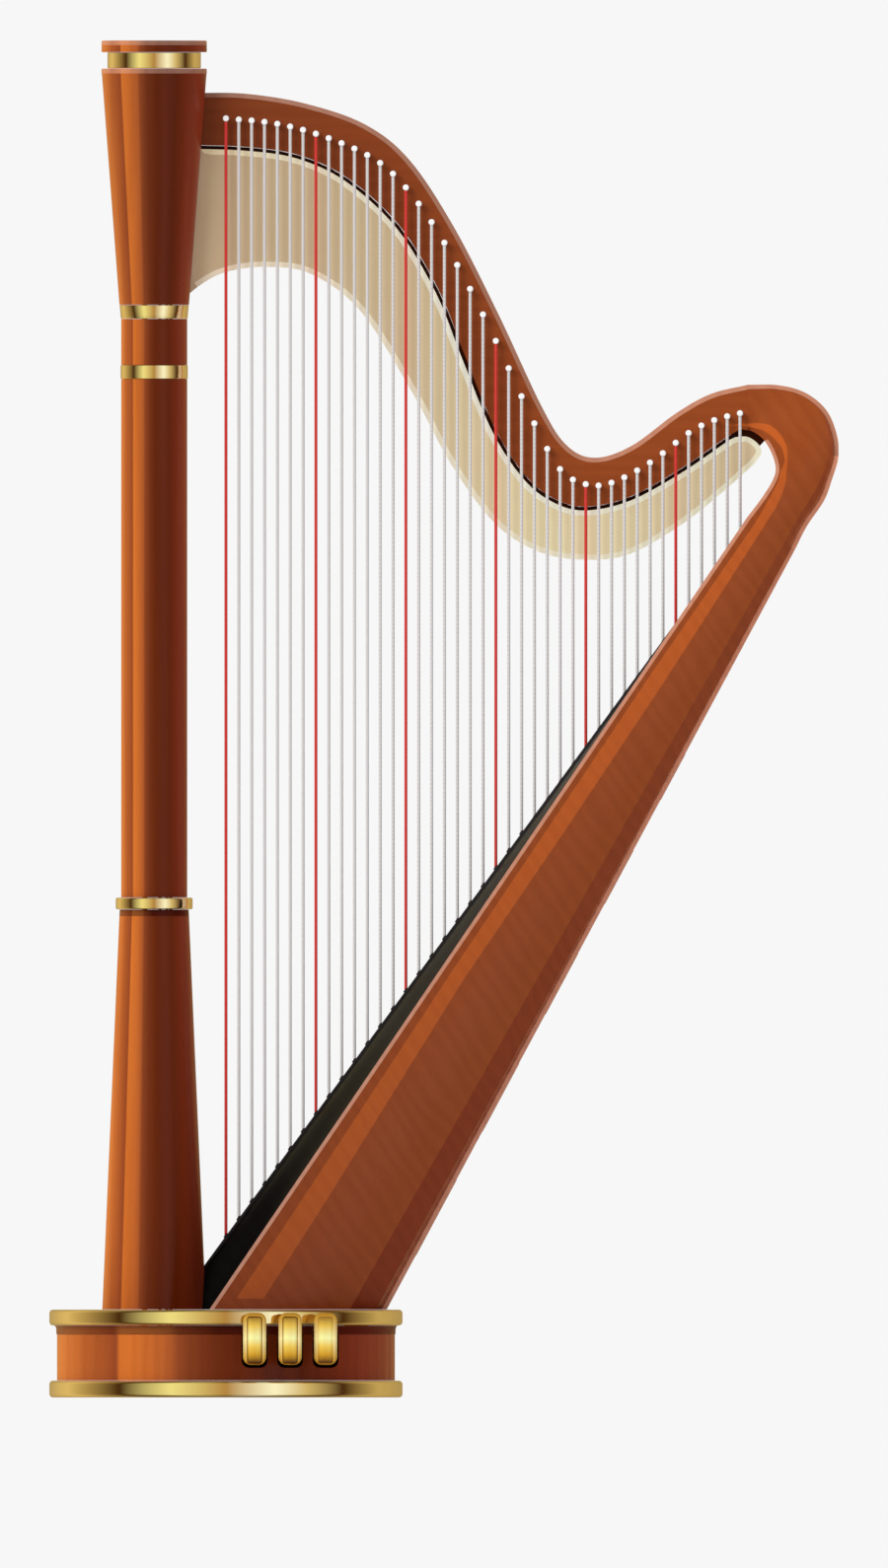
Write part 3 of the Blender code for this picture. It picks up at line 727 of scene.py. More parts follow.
@dataclass(frozen=True)
class StringSkin:
    """Gut, or steel wound with fine wire.

    Attributes:
        name: Name of the material.
        colour: Colour of the string.
        wound: Whether the string is wire wound.
    """

    name: str
    colour: Colour
    wound: bool = False

    def build(self, groups: GroupRack) -> bpy.types.Material:
        """Makes the material.

        Args:
            groups: The shared shader groups.

        Returns:
            The material.
        """
        recipe = Recipe(self.name)
        lines = recipe.node("ShaderNodeTexWave", wave_type="BANDS", bands_direction="Z")
        lines.inputs["Scale"].default_value = 330.0 if self.wound else 55.0
        lines.inputs["Distortion"].default_value = 0.0 if self.wound else 2.0
        recipe.feed(lines.inputs["Vector"], recipe.place)
        dull: Colour = tuple(c * 0.9 for c in self.colour)
        marks = recipe.group(groups.handling, Roughness=0.55, Smears=0.2, Dust=0.0).outputs
        recipe.bump(lines.outputs["Fac"], 0.25 if self.wound else 0.1, 0.0001)
        return recipe.dress(Base_Color=recipe.mix(lines.outputs["Fac"], self.colour, dull),
                            Roughness=marks["Roughness"], Specular_IOR_Level=0.12)


class Palette:
    """Every finish of the harp, built once."""

    # Painted highlight and shade round the column and drum: a bright band on the left and a shaded right
    # side, set by angle about the axis.
    painted_light_stops = ((0.0, 216, 118, 45), (0.08, 185, 97, 42), (0.175, 150, 73, 38), (0.185, 213, 116, 46),
                    (0.28, 193, 102, 44), (0.335, 172, 89, 42), (0.36, 138, 67, 33), (0.44, 111, 50, 26),
                    (0.52, 99, 42, 21), (0.72, 92, 37, 17), (0.88, 112, 46, 25), (1.0, 136, 59, 33))
    # Painted highlight on the top lips of the capital and crown, with painted shade round the axis as well.
    lip_highlight_stops = ((0.0, 222, 145, 101), (0.1, 198, 131, 98), (0.2, 219, 143, 100), (0.3, 202, 133, 98),
                 (0.42, 152, 106, 87), (0.6, 136, 97, 82), (0.85, 139, 98, 82), (1.0, 165, 107, 83))
    # Painted shadow under the top moulding and under the foot ring, lighter on the left and darker on the
    # right round the axis.
    painted_shadow_stops = ((0.0, 146, 82, 38), (0.17, 112, 52, 26), (0.19, 146, 82, 38), (0.33, 122, 68, 34),
                  (0.36, 98, 46, 22), (0.48, 68, 26, 9), (0.8, 68, 24, 8), (1.0, 95, 35, 20))

    def __init__(self, layout: "Layout") -> None:
        """Builds all the materials.

        Args:
            layout: Stations of the harp, for the axes of its round pieces.
        """
        rack = GroupRack()
        column, base = (layout.column_x,) * 2, (layout.base_x,) * 2
        timber = along(-0.284, 0.487, (0.0, 127, 61, 31), (1.0, 155, 76, 34))
        # Painted highlight on the pale edge strips; on the box's back edge it is mixed lighter still against
        # the shade that it sits in.
        edge_highlight = along(-0.3, 0.5, (0.0, 170, 123, 104), (1.0, 200, 136, 107))
        board_height, cap_height, plate_span = (0.12, 1.17), (0.043, 0.113), (-0.35, 0.4)
        string, red = srgb(216, 212, 211), srgb(214, 62, 58)

        def wood(name: str, tones: Tones, grain: Grain = Grain.SLOPE, **more: float) -> bpy.types.Material:
            """Builds one varnished wood."""
            return VarnishedWood(name, tones, grain, **more).build(rack)

        def metal(name: str, tones: Tones, **more: object) -> bpy.types.Material:
            """Builds one metal."""
            return Metal(name, tones, **more).build(rack)

        def skin(name: str, colour: Colour, wound: bool = False) -> bpy.types.Material:
            """Builds one kind of string."""
            return StringSkin(name, colour, wound).build(rack)
        self.neck = wood("neck_maple", timber, Grain.LEVEL)
        self.side = wood("soundbox_veneer", timber)
        # The band carries a painted highlight along the side of the box and round the shoulder.
        self.band = wood("light_banding", along(-0.2, 0.45, (0.0, 156, 77, 34), (1.0, 190, 92, 37)),
                         contrast=0.16)
        # Painted shade on the back facets of the box, where they turn away from the light.
        self.shade = wood("dark_back_veneer", along(-0.1, 0.45, (0.0, 112, 47, 26), (1.0, 131, 62, 32)),
                          lift=1.45)
        self.edge = wood("pale_binding", edge_highlight, contrast=0.2)
        self.back_edge = wood("pale_back_binding", edge_highlight, contrast=0.2, lift=1.7)
        # the column and drum carry the painted highlight and shade round their axis
        self.column = wood("column_maple", Tones(Run.ROUND, column, self.painted_light_stops), Grain.UPRIGHT)
        self.drum = wood("drum_maple", Tones(Run.ROUND, base, self.painted_light_stops), Grain.UPRIGHT)
        self.lip = wood("column_lip", Tones(Run.ROUND, column, self.lip_highlight_stops), Grain.UPRIGHT)
        # Near-black painted shade for the brace and floor inside the drum, seen through the pedal slots.
        self.dark = wood("stained_beech", plain(45, 16, 4), Grain.LEVEL, coat=0.04)
        self.cove = wood("stained_cove", Tones(Run.ROUND, base, self.painted_shadow_stops), Grain.LEVEL, coat=0.02)
        self.collar = wood("stained_collar", Tones(Run.ROUND, column, self.painted_shadow_stops), Grain.LEVEL,
                           coat=0.02)
        # Near-black painted shadow for the core, seen as the dark line under the neck.
        self.shadow = wood("blackened_edge", plain(50, 18, 2), Grain.LEVEL, coat=0.0)
        self.pale = wood("bare_maple", plain(200, 168, 124), Grain.UPRIGHT, contrast=0.3, coat=0.0)
        # Black lacquer with a painted sheen that turns lighter grey towards the top of the board; the rib
        # below also grows lighter towards the top.
        self.board = Lacquer("black_soundboard", Tones(Run.RISING, board_height, (
            (0.0, 13, 13, 13), (0.3, 17, 17, 17), (0.62, 52, 52, 52), (1.0, 112, 112, 112)))).build(rack)
        self.rib = Lacquer("string_rib_black", Tones(Run.RISING, board_height, (
            (0.0, 30, 27, 28), (1.0, 58, 54, 55))), 0.6).build(rack)
        self.gold = metal("gilt_brass", plain(246, 219, 162), rough=0.09, pure=True)
        # Painted highlight across the middle of the pedal shoes, with painted shade towards their top and
        # bottom.
        self.cap_rim = metal("pedal_brass_rim", Tones(Run.RISING, cap_height, (
            (0.0, 165, 111, 21), (0.15, 190, 145, 60), (0.5, 234, 208, 145), (0.85, 190, 145, 60),
            (1.0, 165, 111, 21))), rough=0.3, metallic=0.25, lift=1.12)
        self.cap = metal("pedal_brass_face", Tones(Run.RISING, cap_height, (
            (0.06, 92, 54, 18), (0.20, 190, 140, 35), (0.36, 220, 184, 80), (0.514, 254, 246, 156),
            (0.74, 212, 174, 72), (0.92, 136, 93, 28))), rough=0.3, metallic=0.2, lift=1.15)
        self.plate = metal("action_plate_brass", along(
            *plate_span, (0.0, 183, 159, 128), (0.413, 197, 176, 142), (0.6, 212, 196, 158),
            (0.733, 214, 199, 162), (1.0, 202, 182, 148)),
            rough=0.38, metallic=0.25, across=500.0, lines=0.04, aged=0.10, lift=1.20)
        # Painted highlight on the plate rims: bright on the upper rim, softer on the lower.
        rim_highlight = {"rough": 0.3, "metallic": 0.2, "lines": 0.02, "aged": 0.06, "lift": 1.27}
        self.plate_top = metal("plate_polished_edge", along(
            *plate_span, (0.0, 216, 201, 163), (0.5, 247, 246, 201), (1.0, 240, 230, 190)), **rim_highlight)
        self.plate_low = metal("plate_lower_edge", along(
            *plate_span, (0.0, 214, 198, 176), (1.0, 228, 216, 191)), **rim_highlight)
        self.steel = metal("ground_steel", plain(196, 196, 198), rough=0.32, pure=True)
        self.pin = metal("nickel_pin", plain(252, 252, 252), rough=0.4, metallic=0.0, aged=0.0)
        self.grey, self.wound = skin("gut_string", string), skin("wound_string", string, True)
        self.red, self.red_wound = skin("red_string", red), skin("red_wound_string", red, True)


# ---------------------------------------------------------------- making pieces


class Workpiece:
    """One piece's mesh while it is shaped with bmesh operators."""

    def __init__(self, name: str, materials: Sequence[bpy.types.Material]) -> None:
        """Starts an empty mesh.

        Args:
            name: Name of the piece.
            materials: Its material slots in order.
        """
        self.name = name
        self.materials = list(materials)
        self.bm = bmesh.new()

    def outline(self, points: Iterable[Sequence[float]]) -> bmesh.types.BMFace:
        """Fills a closed outline of points with one face."""
        verts = [self.bm.verts.new(p) for p in points]
        edges = [self.bm.edges.new((a, b)) for a, b in zip(verts, verts[1:] + verts[:1])]
        made = bmesh.ops.contextual_create(self.bm, geom=edges)
        return made["faces"][0]

    def slab(self, points: Sequence[Point], y0: float, y1: float) -> None:
        """Makes a plate from an (x, z) outline.

        Args:
            points: The outline.
            y0: Near side.
            y1: Far side.
        """
        near = self.outline([(p[0], y0, p[1]) for p in points])
        pushed = bmesh.ops.extrude_face_region(self.bm, geom=[near])
        bmesh.ops.translate(self.bm, verts=[g for g in pushed["geom"] if isinstance(g, bmesh.types.BMVert)],
                            vec=(0.0, y1 - y0, 0.0))

    def turned(self, profile: Sequence[Point], x: float, steps: int) -> None:
        """Turns a (radius, z) profile about an upright axis.

        Args:
            profile: Points of the profile; it is closed unless both ends lie on the axis.
            x: X of the axis.
            steps: Steps of the spin.
        """
        verts = [self.bm.verts.new((x + r, 0.0, z)) for r, z in profile]
        on_axis = profile[0][0] == 0.0 and profile[-1][0] == 0.0
        pairs = list(zip(verts, verts[1:])) + ([] if on_axis else [(verts[-1], verts[0])])
        edges = [self.bm.edges.new(pair) for pair in pairs]
        bmesh.ops.spin(self.bm, geom=verts + edges, cent=(x, 0.0, 0.0), axis=(0, 0, 1), angle=math.tau,
                       steps=steps, use_merge=True, use_duplicate=False)
        bmesh.ops.remove_doubles(self.bm, verts=list(self.bm.verts), dist=1e-6)

    def bar(self, start: Vector, end: Vector, radius: float, segments: int = 12, slot: int = 0,
            tip: float | None = None) -> None:
        """Adds a round bar, or a cone where tip differs from radius.

        Args:
            start: One end.
            end: Other end.
            radius: Radius at the start.
            segments: Sides.
            slot: Material slot.
            tip: Radius at the end.
        """
        before = set(self.bm.faces)
        made = bmesh.ops.create_cone(self.bm, cap_ends=True, segments=segments, radius1=radius,
                                     radius2=radius if tip is None else tip, depth=(end - start).length)
        turn = Vector((0, 0, 1)).rotation_difference(end - start).to_matrix().to_4x4()
        bmesh.ops.transform(self.bm, matrix=Matrix.Translation((start + end) / 2) @ turn, verts=made["verts"])
        for face in set(self.bm.faces) - before:
            face.material_index = slot

    def knot(self, centre: Vector, radius: float, tall: float) -> None:
        """Adds a small ball, stretched upwards by a share."""
        bmesh.ops.create_uvsphere(self.bm, u_segments=8, v_segments=4, radius=radius,
                                  matrix=Matrix.Translation(centre) @ Matrix.Diagonal((1.0, 1.0, tall, 1.0)))

    def block(self, centre: Vector, size: Sequence[float], slot: int, bevel: float) -> None:
        """Adds a block with bevelled edges."""
        before = set(self.bm.faces)
        made = bmesh.ops.create_cube(self.bm, size=1.0)
        bmesh.ops.transform(self.bm, matrix=Matrix.Translation(centre) @ Matrix.Diagonal((*size, 1.0)),
                            verts=made["verts"])
        edges = {e for v in made["verts"] for e in v.link_edges}
        bmesh.ops.bevel(self.bm, geom=list(edges), offset=bevel, segments=2, profile=0.5, affect="EDGES",
                        material=-1)
        for face in set(self.bm.faces) - before:
            face.material_index = slot

    def skin(self, rings: Sequence[Ring], slots: Slots | None = None, cap: bool = True) -> None:
        """Bridges closed rings of equal length.

        Args:
            rings: The rings, in order.
            slots: Material slot by ring number and point number.
            cap: Whether to close both ends.
        """
        rows = []
        for ring in rings:
            verts = [self.bm.verts.new(p) for p in ring]
            rows.append((verts, [self.bm.edges.new((a, b)) for a, b in zip(verts, verts[1:] + verts[:1])]))
        for i, (low, high) in enumerate(zip(rows, rows[1:])):
            made = bmesh.ops.bridge_loops(self.bm, edges=low[1] + high[1])
            if slots is not None:
                number = {v: k for k, v in enumerate(low[0])}
                count = len(low[0])
                for face in made["faces"]:
                    found = sorted(number[v] for v in face.verts if v in number)
                    if len(found) < 2:
                        continue
                    first = count - 1 if found[0] == 0 and found[-1] == count - 1 else found[0]
                    face.material_index = slots(i, first)
        if cap:
            for verts, edges in (rows[0], rows[-1]):
                bmesh.ops.contextual_create(self.bm, geom=edges)

    def from_node(self, node: str, faceted: bool = False) -> None:
        """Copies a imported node's mesh and merges its corners.

        Args:
            node: Name of the node.
            faceted: Whether to keep its triangles, and not join those that lie flat.
        """
        self.bm.from_mesh(frame["nodes"][node].data)
        bmesh.ops.remove_doubles(self.bm, verts=list(self.bm.verts), dist=MERGE)
        if not faceted:
            bmesh.ops.dissolve_limit(self.bm, angle_limit=math.radians(1.0), verts=list(self.bm.verts),
                                     edges=list(self.bm.edges))
        for face in self.bm.faces:
            face.material_index = 0

    def ease(self, width: float) -> None:
        """Rounds every sharp edge a little."""
        sharp = [e for e in self.bm.edges if len(e.link_faces) == 2 and e.calc_face_angle(0.0) > HINGE_EDGE]
        bmesh.ops.bevel(self.bm, geom=sharp, offset=width, segments=2, profile=0.5, affect="EDGES",
                        material=-1, clamp_overlap=True)

    def done(self, body: str, slot: Slot, replaces: Sequence[str] = (), smooth: float = 35.0,
             recalc: bool = True) -> bpy.types.Object:
        """Turns the mesh into a finished piece that rides on a body.

        Args:
            body: Body that carries the piece.
            slot: Record's material slot; not used.
            replaces: CAD nodes that the piece stands for.
            smooth: Angle in degrees below which shading is smooth.
            recalc: Whether to turn all faces outwards.

        Returns:
            The object.
        """
        if recalc:
            bmesh.ops.recalc_face_normals(self.bm, faces=list(self.bm.faces))
        mesh = bpy.data.meshes.new(self.name)
        self.bm.to_mesh(mesh)
        self.bm.free()
        for material in self.materials:
            mesh.materials.append(material)
        mesh.polygons.foreach_set("use_smooth", [True] * len(mesh.polygons))
        mesh.set_sharp_from_angle(angle=math.radians(smooth))
        piece = bpy.data.objects.new(self.name, mesh)
        bpy.context.scene.collection.objects.link(piece)
        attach(piece, body)
        if replaces:
            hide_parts(*replaces)
        LOG.info("%s: %d faces on %s", self.name, len(mesh.polygons), body)
        return piece


def curve_through(points: Sequence[Point], steps: int = 8) -> list[Vector]:
    """Runs a Catmull-Rom curve through points.

    Args:
        points: The points, two coordinates each.
        steps: Points for each span.

    Returns:
        Points of the curve.
    """
    pts = [Vector(p) for p in points]
    pts = [2 * pts[0] - pts[1]] + pts + [2 * pts[-1] - pts[-2]]
    out: list[Vector] = []
    for a, b, c, d in zip(pts, pts[1:], pts[2:], pts[3:]):
        for k in range(steps):
            t = k / steps
            out.append(0.5 * (2 * b + (c - a) * t + (2 * a - 5 * b + 4 * c - d) * t * t
                              + (3 * b - a - 3 * c + d) * t ** 3))
    return out + [pts[-2]]


def sideways(points: Sequence[Vector], distance: float) -> list[Vector]:
    """Moves a line to the right of its direction.

    Args:
        points: The line.
        distance: How far.

    Returns:
        The moved line.
    """
    out = []
    for i, p in enumerate(points):
        run = (points[min(i + 1, len(points) - 1)] - points[max(i - 1, 0)]).normalized()
        out.append(p + Vector((run.y, -run.x)) * distance)
    return out


def rounded(r: float, z0: float, z1: float, c: float, inner: float, n: int = 4) -> list[Point]:
    """Profile of a ring with quarter-round outer corners.

    Args:
        r: Outer radius.
        z0: Lower side.
        z1: Upper side.
        c: Radius of the corners.
        inner: Inner radius.
        n: Steps of each corner.

    Returns:
        The profile from the top inner corner round the outside.
    """
    angles = [math.pi / 2 * i / n for i in range(n + 1)]
    top = [(r - c + c * math.sin(a), z1 - c + c * math.cos(a)) for a in angles]
    low = [(r - c + c * math.cos(a), z0 + c - c * math.sin(a)) for a in angles]
    return [(inner, z1)] + top + low + [(inner, z0)]


# ---------------------------------------------------------------- the harp's shared shape


@dataclass(frozen=True)
class Layout:
    """Stations and outlines that several sub-assemblies share."""

    column_x: float = -0.3842
    capital: Point = (0.0458, 1.4493)
    capital_flare: float = 0.0240 / 0.3068
    base_x: float = -0.2891
    deck_top: float = 0.1164
    neck_y: Point = (0.0100, 0.0540)
    edge_foot: tuple[float, float, float] = (-0.3113, 0.0, 0.1164)
    up_slope: tuple[float, float, float] = (0.5615, 0.0, 0.8275)
    box_top: float = 1.2700
    depth: Point = (0.2084, 0.1038)
    half: Point = (0.1650, 0.0822)
    ridge: Point = (-0.0401, 0.0364)
    rib_t: float = 0.0040
    strings: int = 41
    string_x0: float = -0.2891
    string_step: float = 0.01704
    neck_top: tuple[Point, ...] = (
        (-0.3335, 1.7305), (-0.2616, 1.7292), (-0.1831, 1.7161), (-0.1046, 1.6886), (-0.0458, 1.6415),
        (0.0131, 1.5526), (0.0719, 1.4375), (0.1308, 1.3119), (0.1635, 1.2622), (0.2001, 1.2465),
        (0.2485, 1.2622), (0.3074, 1.3054), (0.3532, 1.3309), (0.4026, 1.3433))
    neck_bottom: tuple[Point, ...] = (
        (-0.3335, 1.6612), (-0.2616, 1.6585), (-0.1936, 1.6481), (-0.1269, 1.6167), (-0.0589, 1.5539),
        (-0.0065, 1.4676), (0.0275, 1.3826), (0.0693, 1.2818), (0.1125, 1.2177), (0.1543, 1.1883),
        (0.1936, 1.1818), (0.2485, 1.1955), (0.3165, 1.2334), (0.3846, 1.2798), (0.4026, 1.2831))
    pin_line: tuple[Point, ...] = (
        (-0.2891, 1.6965), (-0.2211, 1.6893), (-0.1530, 1.6703), (-0.0850, 1.6376), (-0.0340, 1.5840),
        (0.0183, 1.5009), (0.0693, 1.4002), (0.1203, 1.2910), (0.1543, 1.2308), (0.1884, 1.2112),
        (0.2224, 1.2132), (0.2734, 1.2400), (0.3244, 1.2792), (0.3584, 1.2962), (0.3924, 1.3054))

    @property
    def along(self) -> Vector:
        """Direction up the soundboard."""
        return Vector(self.up_slope).normalized()

    @property
    def back(self) -> Vector:
        """Direction from the soundboard into the box."""
        u = self.along
        return Vector((u.z, 0.0, -u.x))

    def at(self, s: float, n: float, y: float) -> Vector:
        """Point s up the board's edge, n behind it, at y."""
        p = Vector(self.edge_foot) + self.along * s + self.back * n
        return Vector((p.x, y, p.z))

    def depth_at(self, s: float) -> float:
        """Depth of the box at s."""
        return self.depth[0] - self.depth[1] * s

    def half_at(self, s: float) -> float:
        """Half width of the box at s."""
        return self.half[0] - self.half[1] * s

    def ridge_at(self, s: float) -> float:
        """Front of the string rib at s."""
        return self.ridge[0] + self.ridge[1] * s

    def string_x(self, k: int) -> float:
        """X of string k."""
        return self.string_x0 + self.string_step * k

    def pin_z(self, k: int) -> float:
        """Height of string k's tuning pin."""
        x = self.string_x(k)
        line = curve_through(self.pin_line, 6)
        x = max(x, line[0].x)
        for a, b in zip(line, line[1:]):
            if a.x <= x <= b.x:
                return a.y + (b.y - a.y) * (x - a.x) / (b.x - a.x)
        return line[-1].y

    def foot_s(self, k: int, behind: float) -> float:
        """How far up the slope string k meets a line that far behind the ridge."""
        x = self.string_x(k) - self.edge_foot[0]
        return (x - self.back.x * (self.ridge[0] + behind)) / (self.along.x + self.back.x * self.ridge[1])

    @staticmethod
    def level(line: Line, z: float, reach: float) -> Vector:
        """Where the first stretch of a line, up to s = reach, meets the level plane at z."""
        a, b = line(0.0), line(reach)
        return a.lerp(b, (z - a.z) / (b.z - a.z))


# ---------------------------------------------------------------- sub-assemblies


@dataclass
class Base:
    """Round pedal base: mouldings, wall with pedal slots, floor and deck."""

    layout: Layout
    palette: Palette
    moulding_r: float = 0.2341
    wall_r: float = 0.2241
    corner: float = 0.0048
    board_r: float = 0.2183
    floor_top: float = 0.0222
    deck_z: float = 0.0955
    steps: int = 160
    board_steps: int = 96

    def mouldings(self) -> None:
        """Makes both gilt mouldings with rounded corners."""
        for name, z0, z1 in (("base_bottom_moulding", 0.0, self.floor_top),
                             ("base_top_moulding", self.deck_z, self.layout.deck_top)):
            work = Workpiece("gilt_" + name, [self.palette.gold])
            profile = rounded(self.moulding_r, z0, z1, self.corner, self.board_r + GAP, 6)
            work.turned(profile, self.layout.base_x, self.steps)
            work.done(Body.FRAME.value, Slot.GOLD, [name])

    def wall(self) -> None:
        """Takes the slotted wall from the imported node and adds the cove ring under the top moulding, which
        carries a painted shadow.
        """
        work = Workpiece("veneered_wall", [self.palette.drum])
        work.from_node("base_wall", faceted=True)
        work.done(Body.FRAME.value, Slot.WOOD, ["base_wall"], smooth=20.0, recalc=False)
        # the cove ring is darkened as the painted shadow of the moulding above it
        work = Workpiece("stained_cove_moulding", [self.palette.cove])
        cove = ((0.0, 0.0954), (0.0034, 0.0954), (0.0016, 0.0935), (0.0009, 0.0905), (0.0008, 0.0845),
                (0.0, 0.0835))
        work.turned([(self.wall_r + proud, z) for proud, z in cove], self.layout.base_x, self.steps)
        work.done(Body.FRAME.value, Slot.DARK)

    def brace(self) -> None:
        """Dresses the plank that stiffens the drum on its middle line, darkened as painted shade seen through
        the slots.
        """
        work = Workpiece("stained_drum_brace", [self.palette.dark])
        work.from_node("base_brace")
        work.ease(0.0008)
        work.done(Body.FRAME.value, Slot.DARK, ["base_brace"])

    def boards(self) -> None:
        """Makes the floor and the deck, with their edges eased."""
        r, top, low, deck = self.board_r, self.floor_top, self.deck_z, self.layout.deck_top
        # the floor takes the near-black painted shade of the drum's inside
        work = Workpiece("base_floor_board", [self.palette.dark])
        work.turned([(0.0, top), (r - 0.0008, top), (r, top - 0.0008), (r, 0.0010), (r - 0.0008, 0.0),
                     (0.0, 0.0)], self.layout.base_x, self.board_steps)
        work.done(Body.FRAME.value, Slot.DARK, ["base_floor"])
        work = Workpiece("base_deck_board", [self.palette.neck])
        work.turned([(0.0, deck), (r - 0.0018, deck), (r, deck - 0.0014), (r, low), (0.0, low)],
                    self.layout.base_x, self.board_steps)
        work.done(Body.FRAME.value, Slot.WOOD, ["base_deck"])

    def build(self) -> None:
        """Makes the whole base."""
        self.mouldings()
        self.wall()
        self.brace()
        self.boards()


@dataclass
class Column:
    """Turned column with its gilt rings, capital and crown."""

    layout: Layout
    palette: Palette
    bore: float = 0.0260
    steps: int = 128
    # heights of the lips that carry the painted highlight
    lips: tuple[Point, ...] = ((1.7938, 1.8001), (1.7561, 1.7627))
    # heights of the painted shadow under the foot ring
    shadow_band: Point = (0.6385, 0.6473)

    def piece(self, name: str, node: str, profile: Sequence[Point], material: bpy.types.Material,
              slot: Slot) -> None:
        """Turns one piece of the column."""
        work = Workpiece(name, [material, self.palette.lip, self.palette.collar])
        work.turned(profile, self.layout.column_x, self.steps)
        for face in work.bm.faces if slot is Slot.WOOD else ():
            z = face.calc_center_median().z
            # faces on the lips take the painted highlight, faces in the band under the foot ring the painted
            # shadow
            if any(low < z < high for low, high in self.lips):
                face.material_index = 1
            elif self.shadow_band[0] < z < self.shadow_band[1]:
                face.material_index = 2
        work.done(Body.FRAME.value, slot, [node])

    def build(self) -> None:
        """Turns every piece, from the foot to the crown."""
        b, wood, gold = self.bore, self.palette.column, self.palette.gold
        self.piece("turned_foot", "column_foot",
                   [(b, 0.6472), (0.0455, 0.6472), (0.0458, 0.6469), (0.0462, 0.6384), (0.0687, 0.1200),
                    (0.0690, 0.1170), (0.0688, 0.1167), (b, 0.1167)], wood, Slot.WOOD)
        self.piece("gilt_foot_ring", "foot_ring", rounded(0.0510, 0.6475, 0.6629, 0.0022, b), gold, Slot.GOLD)
        self.piece("turned_shaft", "column_shaft",
                   [(b, 1.4307), (0.0436, 1.4307), (0.0438, 1.4304), (0.0438, 1.3697), (0.0435, 1.3694),
                    (0.0415, 1.3694), (0.0415, 1.3510), (0.0435, 1.3510), (0.0438, 1.3507), (0.0438, 0.6635),
                    (0.0435, 0.6632), (b, 0.6632)], wood, Slot.WOOD)
        self.piece("gilt_shaft_ring", "shaft_ring", rounded(0.0446, 1.3512, 1.3692, 0.0008, 0.0418), gold,
                   Slot.GOLD)
        self.piece("gilt_capital_ring", "capital_ring",
                   [(b, 1.4490), (0.0452, 1.4490), (0.0458, 1.4484), (0.0443, 1.4316), (0.0439, 1.4310),
                    (b, 1.4310)], gold, Slot.GOLD)
        self.piece("turned_capital", "column_capital",
                   [(b, 1.7626), (0.0688, 1.7626), (0.0698, 1.7618), (0.0698, 1.7562), (0.0694, 1.7556),
                    (0.0462, 1.4500), (0.0458, 1.4493), (b, 1.4493)], wood, Slot.WOOD)
        self.piece("gilt_crown_ring", "crown_ring",
                   [(0.0, 1.7841), (0.0612, 1.7841), (0.0620, 1.7835), (0.0620, 1.7637), (0.0612, 1.7629),
                    (0.0, 1.7629)], gold, Slot.GOLD)
        self.piece("turned_crown", "crown_cap",
                   [(0.0, 1.8000), (0.0500, 1.8000), (0.0686, 1.7998), (0.0698, 1.7988), (0.0698, 1.7938),
                    (0.0695, 1.7935), (0.0698, 1.7930), (0.0698, 1.7850), (0.0694, 1.7844), (0.0, 1.7844)],
                   wood, Slot.WOOD)


